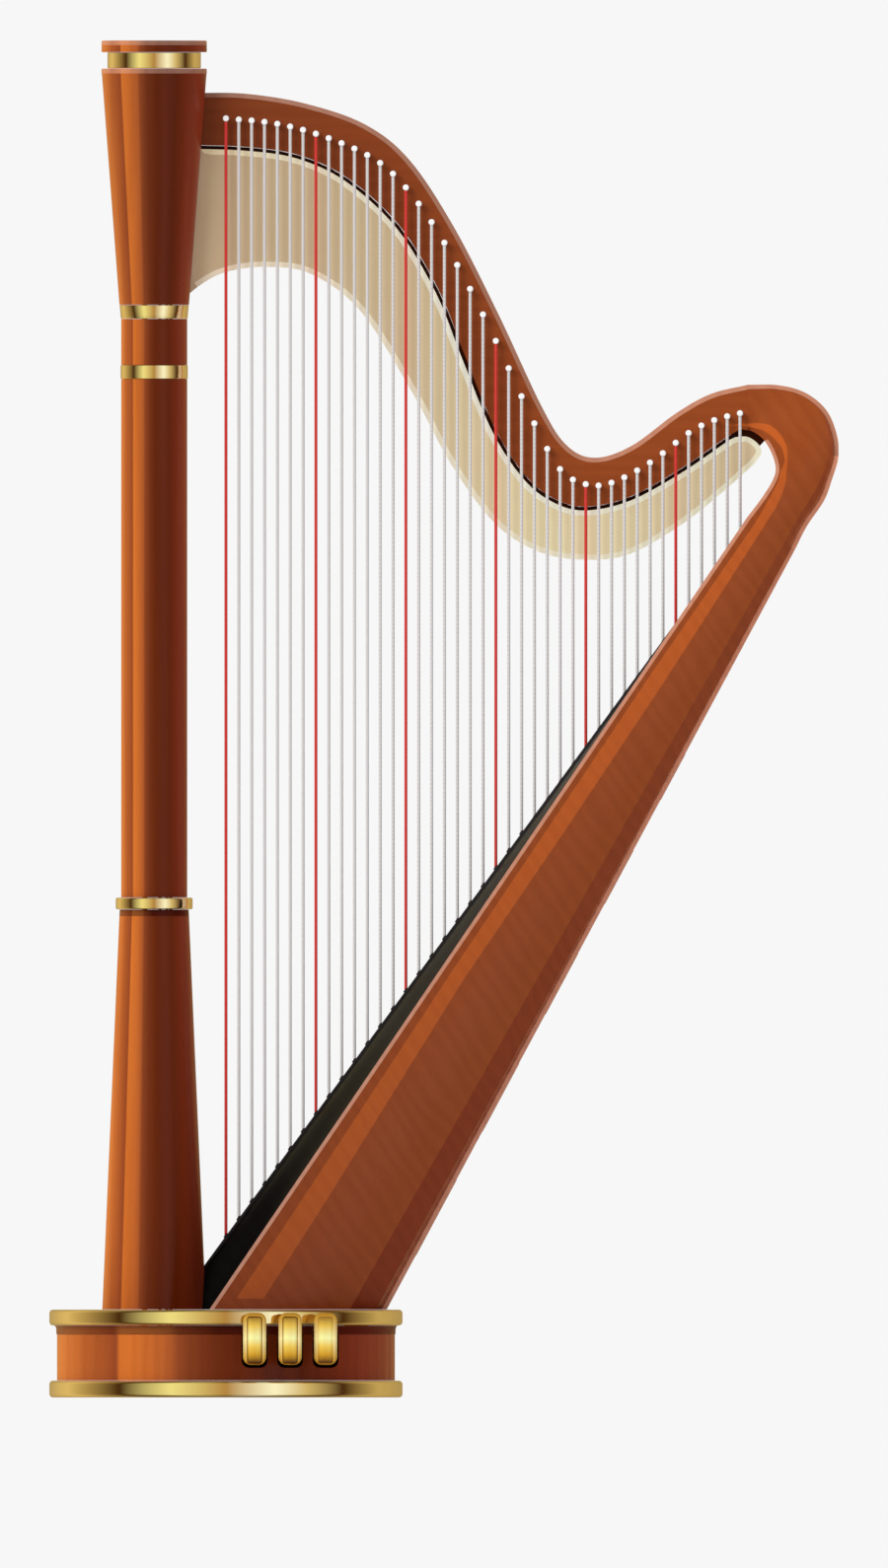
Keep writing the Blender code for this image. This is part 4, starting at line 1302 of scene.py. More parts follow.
@dataclass
class Neck:
    """Curved neck with pale chamfered edges that carry a painted highlight, its brass action plates and the
    core between them.
    """

    layout: Layout
    palette: Palette
    # width of the pale chamfer that carries the painted highlight
    edge_highlight: float = 0.0061
    joint_x: float = 0.4029
    end_margin: float = 0.0001
    upper_clear: float = 0.012
    rim: float = 0.0070
    plate_t: float = 0.0040
    set_back: float = 0.0025
    shadow_gap: float = 0.0050
    capital_gap: float = 0.0004
    end_clear: float = 0.006
    crown: float = 0.12
    plate_bottom: tuple[Point, ...] = (
        (-0.3520, 1.4508), (-0.3270, 1.4728), (-0.2904, 1.4924), (-0.2354, 1.4996), (-0.1753, 1.4898),
        (-0.1099, 1.4401), (-0.0419, 1.3329), (0.0105, 1.2361), (0.0693, 1.1576), (0.1295, 1.1203),
        (0.1923, 1.1111), (0.2485, 1.1196), (0.3165, 1.1589), (0.3675, 1.1994), (0.4110, 1.2380))
    highlight_inlay: Point = (0.0003, 0.0004)
    highlight_tip: tuple[Point, ...] = ((0.4032, 1.2876), (0.4032, 1.2917), (0.3900, 1.2911), (0.3730, 1.2893),
                                      (0.3900, 1.2884))
    core_tip: Point = (0.380, 1.262)
    core_reach: tuple[float, float, float] = (0.0008, 0.0, 0.0012)
    plate_end: tuple[Point, ...] = ((0.4195, 1.2475), (0.4205, 1.2580), (0.4130, 1.2680), (0.4010, 1.2745),
                                    (0.3865, 1.2738))

    def timber(self) -> None:
        """Makes the neck with a pale chamfer along both edges that carries a painted highlight."""
        top, bottom = curve_through(self.layout.neck_top), curve_through(self.layout.neck_bottom)
        for line in (top, bottom):
            line[-1] = Vector((self.joint_x, line[-1].y))
        work = Workpiece("carved_neck", [self.palette.neck, self.palette.edge])
        work.slab([tuple(p) for p in top + bottom[::-1]], *self.layout.neck_y)
        first, last = top[0].x + self.end_margin, self.joint_x - self.end_margin
        rims = [e for e in work.bm.edges if abs(e.verts[0].co.y - e.verts[1].co.y) < 1e-6
                and not all(v.co.x > last for v in e.verts) and not all(v.co.x < first for v in e.verts)]
        upper = [e for e in rims if self.is_upper(e, bottom)]
        made = bmesh.ops.bevel(work.bm, geom=upper, offset=self.edge_highlight, segments=1, profile=0.5,
                               affect="EDGES", material=-1, clamp_overlap=True)
        for face in made["faces"]:
            face.material_index = 1
        work.done(Body.FRAME.value, Slot.WOOD, ["neck"], smooth=25.0)

    def is_upper(self, edge: bmesh.types.BMEdge, bottom: Sequence[Vector]) -> bool:
        """Whether a rim edge lies on the neck's upper side."""
        middle = (edge.verts[0].co + edge.verts[1].co) / 2
        return min((Vector((middle.x, middle.z)) - p).length for p in bottom) > self.upper_clear

    def plate_outline(self, y: float) -> list[Vector]:
        """Outline of a plate that stops at the capital.

        Args:
            y: Plane of the plate.

        Returns:
            The outline as (x, z) vectors.
        """
        lay = self.layout
        capital_r, capital_z = lay.capital

        def edge(z: float) -> float:
            """X of the capital's side at height z."""
            r = capital_r + lay.capital_flare * max(z - capital_z, 0.0) + self.capital_gap
            return lay.column_x + math.sqrt(max(r * r - y * y, 0.0001))

        def trimmed(line: list[Vector]) -> list[Vector]:
            """The part of a line that lies clear of the capital, from where it meets it."""
            start = max((i for i, p in enumerate(line) if p.x <= edge(p.y)), default=-1)
            if start < 0:
                return [Vector((edge(line[0].y), line[0].y))] + line
            a, b = line[start], line[start + 1]
            meet = a.lerp(b, (edge(a.y) - a.x) / (b.x - a.x))
            return ([Vector((edge(meet.y), meet.y))]
                    + [p for p in line[start + 1:] if p.x > edge(p.y) + self.rim])
        low = trimmed(curve_through(self.plate_bottom, 6))
        top = [p for p in trimmed(sideways(curve_through(lay.neck_bottom, 6), self.shadow_gap))
               if p.x < self.plate_end[-1][0] - self.end_clear]
        end = [Vector((edge(z), z)) for z in (top[0].y + (low[0].y - top[0].y) * i / 6 for i in range(1, 6))]
        return low + curve_through(self.plate_end, 4)[1:] + top[::-1] + end

    def plates(self) -> None:
        """Makes both plates: satin brass with a painted highlight on the rim all round, brighter where the
        rim faces up.
        """
        lay = self.layout
        y0, y1 = lay.neck_y[0] + self.set_back, lay.neck_y[1] - self.set_back
        for side, near, far in (("left", y0, y0 + self.plate_t), ("right", y1, y1 - self.plate_t)):
            outline = self.plate_outline(abs(min(near, far)))
            work = Workpiece(f"brass_plate_{side}", [self.palette.plate, self.palette.plate_top,
                                                     self.palette.plate_low])
            work.slab([tuple(p) for p in outline], far, near)
            front = max(work.bm.faces, key=lambda f: (len(f.verts), -abs(f.calc_center_median().y - near)))
            ring = bmesh.ops.inset_region(work.bm, faces=[front], thickness=self.rim, depth=0.0,
                                          use_even_offset=False)
            middle = curve_through([((a[0] + b[0]) / 2, (a[1] + b[1]) / 2) for a, b in
                                    zip(lay.neck_bottom[:-1], self.plate_bottom)], 6)
            for face in ring["faces"]:
                c = face.calc_center_median()
                near_point = min(middle, key=lambda p: (p.x - c.x) ** 2 + (p.y - c.z) ** 2)
                above = self.above_middle(Vector((c.x, c.z)), middle, near_point)
                side_x = lay.column_x + lay.capital[0] + lay.capital_flare * (c.z - lay.capital[1])
                beside = c.x < side_x + self.rim
                # rim faces that face up take the brighter painted highlight, the others the softer one
                face.material_index = 0 if beside else 1 if above else 2
            bmesh.ops.translate(work.bm, verts=list(front.verts), vec=(0, (far - near) * self.crown, 0))
            work.done(Body.FRAME.value, Slot.BRASS, [f"action_plate_{side}"], smooth=12.0)

    @staticmethod
    def above_middle(point: Vector, middle: Sequence[Vector], nearest: Vector) -> bool:
        """Whether a point lies on the upper side of the plate's middle line."""
        i = min(max(list(middle).index(nearest), 1), len(middle) - 2)
        run = middle[i + 1] - middle[i - 1]
        return run.x * (point.y - nearest.y) - run.y * (point.x - nearest.x) > 0

    def core(self) -> None:
        """Dresses the core between the plates, blackened as the painted shadow line under the neck."""
        work = Workpiece("blackened_core", [self.palette.shadow])
        work.from_node("action_core")
        tip = [v for v in work.bm.verts if v.co.x > self.core_tip[0] and v.co.z > self.core_tip[1]]
        bmesh.ops.translate(work.bm, verts=tip, vec=self.core_reach)
        work.done(Body.FRAME.value, Slot.DARK, ["action_core"], smooth=25.0)

    def highlight_tips(self) -> None:
        """Lets the end of the shoulder's painted highlight band into both faces of the neck."""
        work = Workpiece("light_banding_tips", [self.palette.band])
        proud, let_in = self.highlight_inlay
        near, far = self.layout.neck_y
        for y0, y1 in ((near - proud, near + let_in), (far - let_in, far + proud)):
            work.slab(self.highlight_tip, y0, y1)
        work.done(Body.FRAME.value, Slot.WOOD)

    def build(self) -> None:
        """Makes the whole neck."""
        self.timber()
        self.plates()
        self.core()
        self.highlight_tips()


@dataclass
class Soundbox:
    """Slatted soundbox whose sides carry painted highlight and shade bands, its shoulder, soundboard, rib and
    inner timbers.
    """

    layout: Layout
    palette: Palette
    wall: float = 0.0060
    plinth: float = 0.0145
    # share of the depth, extra depth, extra inset, and the slot of the strip that follows
    section: tuple[tuple[float, float, float, int], ...] = (
        (0.0, 0.0, 0.0030, 1), (0.0, 0.0048, 0.0, 0), (0.105, 0.0, 0.0, 2), (0.245, 0.0, 0.0, 0),
        (0.38, 0.0, 0.0, 0), (0.52, 0.0, 0.0, 0), (0.66, 0.0, 0.0, 0), (0.78, 0.0, 0.0, 3),
        (0.86, 0.0, 0.0, 3), (0.93, 0.0, 0.0, 3), (1.0, -0.0058, 0.0, 5), (1.0, 0.0, 0.0, 3))
    full: tuple[Point, ...] = ((0.0, 1.0), (0.105, 1.0), (0.245, 0.985), (0.52, 0.90), (0.78, 0.74),
                               (0.93, 0.52), (1.0, 0.30))
    # painted highlight band and painted shade of the box: metres up the edge, then shares of the depth
    bands: tuple[tuple[float, float, float, float], ...] = (
        (0.0, 0.105, 0.253, 0.78), (0.20, 0.105, 0.253, 0.78), (0.55, 0.094, 0.22, 0.78),
        (1.03, 0.11, 0.31, 0.78), (1.27, 0.17, 0.33, 0.78))
    # the same round the shoulder, one entry for each pair of its outline
    turns: tuple[tuple[float, float, float], ...] = (
        (0.17, 0.33, 0.78), (0.13, 0.32, 0.78), (0.10, 0.245, 0.76), (0.085, 0.19, 0.81),
        (0.16, 0.20, 0.82), (0.171, 0.246, 0.87), (0.126, 0.244, 0.93), (0.104, 0.236, 0.93),
        (0.078, 0.184, 0.92), (0.076, 0.141, 0.90))
    shoulder: tuple[tuple[Point, Point], ...] = (
        ((0.4212, 1.1930), (0.4813, 1.1560)), ((0.4343, 1.2138), (0.5036, 1.1890)),
        ((0.4395, 1.2282), (0.5140, 1.2164)), ((0.4382, 1.2413), (0.5232, 1.2491)),
        ((0.4329, 1.2557), (0.5199, 1.2805)), ((0.4251, 1.2688), (0.5062, 1.3106)),
        ((0.4170, 1.2765), (0.4787, 1.3329)), ((0.4095, 1.2810), (0.4434, 1.3427)),
        ((0.4029, 1.2831), (0.4029, 1.3433)))
    outer_x: float = 0.5231
    least_shade: float = 0.015
    shoulder_corner: float = 0.0040
    proud_limit: float = -0.012
    last_pale_pair: int = 6
    lit_pair: int = 4
    spans: int = 6
    holes: tuple[Point, ...] = ((0.27, 0.056), (0.45, 0.050), (0.62, 0.044), (0.78, 0.038), (0.93, 0.032))
    hole_narrow: float = 0.62
    hole_stretch: float = 1.5
    hole_steps: int = 48

    @property
    def section_finishes(self) -> list[bpy.types.Material]:
        """Materials of the box and shoulder, in the order of the section's slots, including the painted
        highlight band, the painted shade and the painted edge highlights.
        """
        tones = self.palette
        return [tones.side, tones.edge, tones.band, tones.shade, tones.pale, tones.back_edge]

    def fullness(self, share: float) -> float:
        """Share of the half width at a share of the depth."""
        for (f0, m0), (f1, m1) in zip(self.full, self.full[1:]):
            if share <= f1:
                return m0 + (m1 - m0) * (share - f0) / (f1 - f0)
        return self.full[-1][1]

    def shares(self, low: float, high: float, shade: float, rim: float = 1.0) -> list[float]:
        """Shares of the depth of the section's points.

        Args:
            low: Where the painted highlight band starts.
            high: Where it ends.
            shade: Where the shading starts.
            rim: Where the pale strip at the back starts.

        Returns:
            One share for each point of the section.
        """
        shade = min(shade, rim - self.least_shade)
        middle = [high + (shade - high) * i / 4 for i in range(5)]
        return [0.0, 0.0, low, *middle, shade + (rim - shade) * 0.35, shade + (rim - shade) * 0.7, 1.0, 1.0]

    def band_at(self, s: float) -> list[float]:
        """Shares of the depth of the section's points on the box at s."""
        for first, last in zip(self.bands, self.bands[1:]):
            if s <= last[0]:
                t = (s - first[0]) / (last[0] - first[0])
                return self.shares(*(a + (b - a) * t for a, b in zip(first[1:], last[1:])))
        return self.shares(*self.bands[-1][1:])

    def line(self, number: int, side: int, thick: float) -> Line:
        """One of the lines that run up the shell.

        Args:
            number: Which point of the section.
            side: -1 for the left, 1 for the right.
            thick: How far inside the outer skin.

        Returns:
            A function from s to a point.
        """
        _, dn, dy, _ = self.section[number]

        def point(s: float) -> Vector:
            """Point of the line at s."""
            depth, half = self.layout.depth_at(s), self.layout.half_at(s)
            f = self.band_at(s)[number]
            return self.layout.at(s, f * (depth - thick) + (dn if thick == 0.0 else 0.0),
                                  side * (self.fullness(f) * (half - thick) - dy))
        return point

    def shell(self) -> None:
        """Makes the back shell: outer skin with painted highlight and shade bands, inner skin, lips and oval
        sound holes.
        """
        lay, count = self.layout, len(self.section)
        z = lay.deck_top + GAP
        outer = [self.line(i, -1, 0.0) for i in range(count)]
        outer += [self.line(i, 1, 0.0) for i in reversed(range(count))]
        inner = [self.line(i, 1, self.wall) for i in range(count) if i != 1]
        inner += [self.line(i, -1, self.wall) for i in reversed(range(count)) if i != 1]
        lines = outer + inner
        rings = [[lay.level(ln, height, 0.2) for ln in lines] for height in (z, z + self.plinth)]
        rings += [[ln(s) for ln in lines] for s in (0.20, 0.55, 0.80, 1.03, lay.box_top)]
        work = Workpiece("banded_soundbox", self.section_finishes)

        def slots(ring: int, point: int) -> int:
            """Material slot of the strip that starts at a point."""
            if point < 2 * count - 1:
                kind = self.section[point if point < count else 2 * count - 2 - point][3]
                return 0 if kind == 2 and ring == 0 else kind
            return 1 if point in (2 * count - 1, len(lines) - 1) else 4
        work.skin(rings, slots, cap=False)
        shell = work.done(Body.FRAME.value, Slot.WOOD, ["soundbox_back"], smooth=12.0)
        cutter = self.hole_cutter()
        modifier = shell.modifiers.new("sound_holes", "BOOLEAN")
        modifier.object, modifier.solver = cutter, "EXACT"
        bpy.context.view_layer.update()
        mesh = bpy.data.meshes.new_from_object(shell.evaluated_get(bpy.context.evaluated_depsgraph_get()))
        shell.modifiers.clear()
        shell.data = mesh
        bpy.data.objects.remove(cutter)

    def hole_place(self, s: float, lean: float = 0.0) -> Matrix:
        """Sets a round of the Z axis on the back at s, stretched up the slope to an oval and leant."""
        turn = Vector((0, 0, 1)).rotation_difference(self.layout.back).to_matrix().to_4x4()
        stretch = Matrix.Scale(self.hole_stretch, 4, self.layout.along)
        middle = self.layout.at(s, self.layout.depth_at(s), 0.0)
        return Matrix.Translation(middle) @ Matrix.Rotation(lean, 4, "Y") @ stretch @ turn

    def hole_cutter(self) -> bpy.types.Object:
        """Makes the oval plugs that open the sound holes."""
        bm = bmesh.new()
        for s, r in self.holes:
            narrow = self.hole_narrow * r
            made = bmesh.ops.create_cone(bm, cap_ends=True, segments=self.hole_steps, radius1=narrow,
                                         radius2=narrow, depth=0.06)
            bmesh.ops.transform(bm, matrix=self.hole_place(s), verts=made["verts"])
        mesh = bpy.data.meshes.new("hole_plugs")
        bm.to_mesh(mesh)
        bm.free()
        plug = bpy.data.objects.new("hole_plugs", mesh)
        bpy.context.scene.collection.objects.link(plug)
        return plug

    def hole_rims(self) -> None:
        """Makes the oval frame round each sound hole, in the pale tone that carries the edges' painted
        highlight.
        """
        work = Workpiece("sound_hole_frames", [self.palette.edge])
        for s, r in self.holes:
            before = set(work.bm.verts)
            a, t = self.hole_narrow * r, 0.0035
            work.turned([(a - 0.0002, -0.0040), (a - 0.0002, 0.0002), (a + 0.2 * t, 0.0005),
                         (a + 0.8 * t, 0.0005), (a + t, 0.0001), (a + t, -0.0040)], 0.0, self.hole_steps)
            fresh = [v for v in work.bm.verts if v not in before]
            lean = -math.atan(self.layout.depth[1])
            bmesh.ops.transform(work.bm, matrix=self.hole_place(s, lean), verts=fresh)
        work.done(Body.FRAME.value, Slot.WOOD)

    def shoulder_block(self) -> None:
        """Makes the carved shoulder that carries the bands round into the neck."""
        lay, n = self.layout, self.spans
        first, last = lay.at(lay.box_top, 0.0, 0.0), lay.at(lay.box_top, lay.depth_at(lay.box_top), 0.0)
        pairs = [((first.x, first.z), (last.x, last.z))] + list(self.shoulder)
        inside = curve_through([p[0] for p in pairs], n)
        outside = curve_through([p[1] for p in pairs], n)
        half, count = lay.half_at(lay.box_top), len(self.section)
        rings: list[Ring] = []
        for i, (a, b) in enumerate(zip(inside, outside)):
            b.x = min(b.x, self.outer_x)
            t = i / (len(inside) - 1)
            ease = t * t * (3 - 2 * t)
            j = min(i // n, len(self.turns) - 2)
            part = i / n - j
            rim = 1.0 + self.section[-2][1] / (b - a).length
            shares = self.shares(*(p + (q - p) * part for p, q in zip(self.turns[j], self.turns[j + 1])), rim)
            left, right = [], []
            for number, ((_, dn, dy, _), f) in enumerate(zip(self.section, shares)):
                m = self.fullness(f)
                p = a.lerp(b, min(max(f + dn / (b - a).length, 0.0), 1.0))
                corner = self.shoulder_corner if number in (0, count - 1) else 0.0
                wide = (1 - ease) * (m * half - dy)
                left.append(Vector((p.x, -wide + ease * (lay.neck_y[0] + corner), p.y)))
                right.append(Vector((p.x, wide + ease * (lay.neck_y[1] - corner), p.y)))
            rings.append(left + right[::-1])
        work = Workpiece("carved_shoulder", self.section_finishes)

        def slots(ring: int, point: int) -> int:
            """Material slot of the strip that starts at a point."""
            if point == 2 * count - 1:
                return 0
            if point == count - 1:
                return 3
            kind = self.section[point if point < count else 2 * count - 2 - point][3]
            inner = point in (0, 2 * count - 2)
            # on the lit top of the shoulder the back edge takes the plain painted highlight, not the copy
            # lifted against the shade
            if kind == 5 and ring >= self.lit_pair * n:
                return 1
            return 0 if inner and ring >= self.last_pale_pair * n else kind
        work.skin(rings, slots)
        work.done(Body.FRAME.value, Slot.WOOD, ["shoulder"], smooth=16.0)

    def board(self) -> None:
        """Makes the arched black soundboard."""
        lay = self.layout

        def point(s: float, v: float, thick: float) -> Vector:
            """Point of the board at share v of its half width."""
            edge = 0.0026 + 0.0055 * s
            rise = min(max((s - 0.05) / 0.35, 0.0), 1.0)
            width = 0.24 + 0.76 * rise * rise * (3 - 2 * rise)
            arch = 0.5 * (1 + math.cos(math.pi * min(abs(v) / width, 1.0) ** 1.15))
            n = edge + arch * (lay.ridge_at(s) + lay.rib_t - edge) + thick
            return lay.at(s, n, v * (lay.half_at(s) - self.wall - 0.0004))
        across = [-1 + i / 20 for i in range(41)]

        def ring(where: Callable[[Line], Vector]) -> Ring:
            """Closed section of the board."""
            front = [where(lambda s, v=v: point(s, v, 0.0)) for v in across]
            return front + [where(lambda s, v=v: point(s, v, 0.0035)) for v in reversed(across)]
        work = Workpiece("lacquered_soundboard", [self.palette.board])

        def foot(line: Line) -> Vector:
            """Where a line meets the deck."""
            return lay.level(line, lay.deck_top + GAP, 0.04)
        stations = (0.07, 0.10, 0.13, 0.17, 0.21, 0.25, 0.30, 0.35, 0.40, 0.60, 0.90, lay.box_top - 0.0005)
        work.skin([ring(foot)] + [ring(lambda ln, s=s: ln(s)) for s in stations])
        work.done(Body.FRAME.value, Slot.BLACK, ["soundboard"], smooth=30.0)

    def rib(self) -> None:
        """Makes the string rib with an eyelet where each string goes through."""
        lay = self.layout
        work = Workpiece("string_rib_bar", [self.palette.rib, self.palette.gold])

        def ring(s: float) -> Ring:
            """Section of the rib at s."""
            r = lay.ridge_at(s)
            shape = ((lay.rib_t, -0.0055), (0.0012, -0.0055), (0.0, -0.0040), (0.0, 0.0040), (0.0012, 0.0055),
                     (lay.rib_t, 0.0055))
            return [lay.at(s, r + n, y) for n, y in shape]
        work.skin([ring(0.0), ring(lay.box_top - 0.001)])
        front = lay.back * -1
        for k in range(lay.strings):
            s = lay.foot_s(k, 0.0)
            spot = lay.at(s, lay.ridge_at(s), 0.0)
            proud = 0.0018 if lay.ridge_at(s) < self.proud_limit else 0.0004
            work.bar(spot - front * 0.001, spot + front * proud, 0.0044, 14, 0, 0.0036)
        work.done(Body.FRAME.value, Slot.BLACK, ["string_rib"], smooth=30.0)

    def timbers(self) -> None:
        """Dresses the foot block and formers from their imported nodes."""
        for node in ("soundbox_foot_block", "soundbox_former_1", "soundbox_former_2"):
            work = Workpiece("bare_" + node, [self.palette.pale])
            work.from_node(node, faceted=True)
            work.done(Body.FRAME.value, Slot.PALE, [node], smooth=20.0, recalc=False)

    def build(self) -> None:
        """Makes the whole soundbox."""
        self.shell()
        self.hole_rims()
        self.shoulder_block()
        self.board()
        self.rib()
        self.timbers()


@dataclass
class Strings:
    """Forty-one strings with their tuning pins and inner anchors."""

    layout: Layout
    palette: Palette
    radius: float = 0.0021
    pin_r: float = 0.0041
    wound: int = 12
    per_octave: int = 7

    def octave(self, number: int) -> None:
        """Makes one octave's strings.

        Args:
            number: 0 for the lowest octave.
        """
        lay = self.layout
        first, last = number * self.per_octave, min((number + 1) * self.per_octave, lay.strings)
        work = Workpiece(f"strings_of_octave_{number + 1}",
                         [self.palette.grey, self.palette.red, self.palette.wound, self.palette.red_wound,
                          self.palette.pale])
        behind = lay.rib_t + 0.0038
        for k in range(first, last):
            red = k % self.per_octave == 0
            slot = (2 if k < self.wound else 0) + (1 if red else 0)
            s = lay.foot_s(k, behind + 0.0025)
            foot = lay.at(s, lay.ridge_at(s) + behind + 0.0025, 0.0)
            top = Vector((foot.x, 0.0, lay.pin_z(k)))
            work.bar(Vector((top.x, 0, foot.z)), top, self.radius, 14, slot)
            work.knot(Vector((foot.x, 0, foot.z - 0.002)), 0.0038, 1.3)
        ends = [lay.foot_s(k, behind) for k in (first, last - 1)]
        rings = [[lay.at(s, lay.ridge_at(s) + n, y) for n, y in
                  ((behind, -0.006), (behind, 0.006), (behind + 0.005, 0.006), (behind + 0.005, -0.006))]
                 for s in (ends[0] - 0.012, ends[1] + (0.012 if last < lay.strings else 0.006))]
        work.skin(rings, lambda ring, point: 4)
        work.done(Body.FRAME.value, Slot.STRING, [f"strings_octave_{number + 1}"], smooth=40.0)

    def pins(self) -> None:
        """Makes the tuning pins: round ends on the left and square drives on the right."""
        lay = self.layout
        work = Workpiece("tuning_pins", [self.palette.pin, self.palette.steel])
        for k in range(lay.strings):
            x, z = lay.string_x(k), lay.pin_z(k)
            head, tip = Vector((x, -0.0030, z)), Vector((x, -0.0044, z))
            near, far = lay.neck_y
            work.bar(head, Vector((x, near + 0.001, z)), self.pin_r, 20, 0)
            work.bar(head, tip, self.pin_r, 20, 0, self.pin_r * 0.72)
            work.bar(Vector((x, far - 0.001, z)), Vector((x, far + 0.006, z)), 0.0034, 16, 1)
            work.block(Vector((x, lay.neck_y[1] + 0.0115, z)), (0.0048, 0.012, 0.0048), 1, 0.0006)
        work.done(Body.FRAME.value, Slot.STEEL, smooth=35.0)

    def build(self) -> None:
        """Makes all the strings and pins."""
        for number in range(math.ceil(self.layout.strings / self.per_octave)):
            self.octave(number)
        self.pins()


@dataclass
class Pedals:
    """Seven pedals: brass shoe, steel lever, rod and spring, on one bracket."""

    layout: Layout
    palette: Palette
    corner: float = 0.0102
    rim: Point = (0.0053, 0.0015)
    face_corner: float = 0.0030
    # inset and share of the shoe's depth: up the outside and over the rim, then over the crowned face
    rim_rings: tuple[Point, ...] = ((0.0010, 0.0), (0.0, 0.07), (0.0, 0.62), (0.0005, 0.70), (0.0014, 0.76))
    face_rings: tuple[Point, ...] = ((-0.0004, 0.84), (0.0, 0.84), (0.0004, 0.80), (0.0010, 0.83),
                                     (0.0022, 0.88), (0.0042, 0.95), (0.0066, 0.99), (0.0092, 1.0))
    spring_arm: float = 0.070
    spring_slack: float = 0.0006
    wire: float = 0.0013
    steps: int = 6

    @staticmethod
    def letters() -> list[str]:
        """Letters of the pedals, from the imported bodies."""
        return sorted(name.removeprefix(Body.PEDAL.value) for name in frame["bodies"]
                      if name.startswith(Body.PEDAL.value))

    def rounded_ring(self, low: Vector, high: Vector, corner: float, y: float) -> Ring:
        """Rounded upright rectangle.

        Args:
            low: Lower left corner.
            high: Upper right corner.
            corner: Radius of its corners.
            y: Its plane.

        Returns:
            Its points, the same number for any size.
        """
        centres = ((high.x - corner, high.z - corner), (low.x + corner, high.z - corner),
                   (low.x + corner, low.z + corner), (high.x - corner, low.z + corner))
        return [Vector((x + corner * math.cos(a), y, z + corner * math.sin(a)))
                for q, (x, z) in enumerate(centres)
                for a in (math.pi / 2 * (q + i / self.steps) for i in range(self.steps + 1))]

    def shoe(self, letter: str) -> None:
        """Makes the brass shoe: a broad rim round a crowned face, both with painted highlight and shade by
        height.

        Args:
            letter: Letter of the pedal.
        """
        low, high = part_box("pedal_cap_" + letter)
        side = -1.0 if low.y + high.y < 0 else 1.0
        back, front = (high.y, low.y) if side < 0 else (low.y, high.y)
        depth = front - back
        inner_low = Vector((low.x + self.rim[0], 0, low.z + self.rim[1]))
        inner_high = Vector((high.x - self.rim[0], 0, high.z - self.rim[0]))

        def ring(start: Vector, end: Vector, corner: float, inset: float, share: float) -> Ring:
            """One ring, drawn in from a rectangle, at a share of the shoe's depth."""
            step = Vector((inset, 0, inset))
            return self.rounded_ring(start + step, end - step, max(corner - inset, 0.0004),
                                     back + depth * share)
        rings = [ring(low, high, self.corner, inset, share) for inset, share in self.rim_rings]
        rings += [ring(inner_low, inner_high, self.face_corner, inset, share)
                  for inset, share in self.face_rings]
        work = Workpiece("pedal_shoe_" + letter, [self.palette.cap_rim, self.palette.cap])
        work.skin(rings, lambda number, point: 1 if number > len(self.rim_rings) + 1 else 0)
        for face in work.bm.faces:
            if len(face.verts) > 4 and (face.calc_center_median().y - back) / depth > 0.5:
                face.material_index = 1
        work.done(Body.PEDAL.value + letter, Slot.GOLD, ["pedal_cap_" + letter], smooth=40.0)

    def carried(self, node: str, name: str, body: str, bevel: float = 0.0) -> None:
        """Takes a steel piece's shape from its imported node, and eases its edges where bevel says so."""
        work = Workpiece(name, [self.palette.steel])
        work.from_node(node)
        if bevel:
            work.ease(bevel)
        work.done(body, Slot.STEEL, [node], smooth=30.0)

    def spring(self, letter: str) -> None:
        """Winds the return spring from round wire and caps the wire's ends."""
        low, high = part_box("pedal_spring_" + letter)
        x, y = (low.x + high.x) / 2, (low.y + high.y) / 2
        wire, coil, turns, steps = self.wire, (high.x - low.x) / 2 - self.wire - 0.0001, 5, 20
        work = Workpiece("return_spring_" + letter, [self.palette.steel])
        z0, z1 = low.z + wire, high.z - wire
        made = bmesh.ops.create_circle(work.bm, cap_ends=False, segments=8, radius=wire)
        start = Matrix.Translation((x + coil, y, z0)) @ Matrix.Rotation(math.pi / 2, 4, "X")
        bmesh.ops.transform(work.bm, matrix=start, verts=made["verts"])
        edges = list({e for v in made["verts"] for e in v.link_edges})
        bmesh.ops.spin(work.bm, geom=list(made["verts"]) + edges, cent=(x, y, 0), axis=(0, 0, 1),
                       dvec=(0, 0, (z1 - z0) / (turns * steps)), angle=math.tau * turns, steps=turns * steps,
                       use_merge=False, use_duplicate=False)
        bmesh.ops.holes_fill(work.bm, edges=[e for e in work.bm.edges if e.is_boundary], sides=8)
        piece = work.done(Body.FRAME.value, Slot.STEEL, ["pedal_spring_" + letter], smooth=50.0)
        hinge = next(joint for joint in frame["joints"] if joint["name"] == f"pedal_{letter}_hinge")
        drop = self.spring_slack + self.spring_arm * math.sin(math.radians(max(map(abs, hinge["range_deg"]))))
        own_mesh(piece)

    def build(self) -> None:
        """Makes every pedal and the bracket that carries them."""
        for letter in self.letters():
            self.shoe(letter)
            self.carried("pedal_lever_" + letter, "ground_lever_" + letter, Body.PEDAL.value + letter, 0.0008)
            self.carried("pedal_rod_" + letter, "drawn_rod_" + letter, Body.ROD.value + letter)
            self.spring(letter)
        self.carried("pedal_bracket", "cast_bracket", Body.FRAME.value)


# ---------------------------------------------------------------- stage


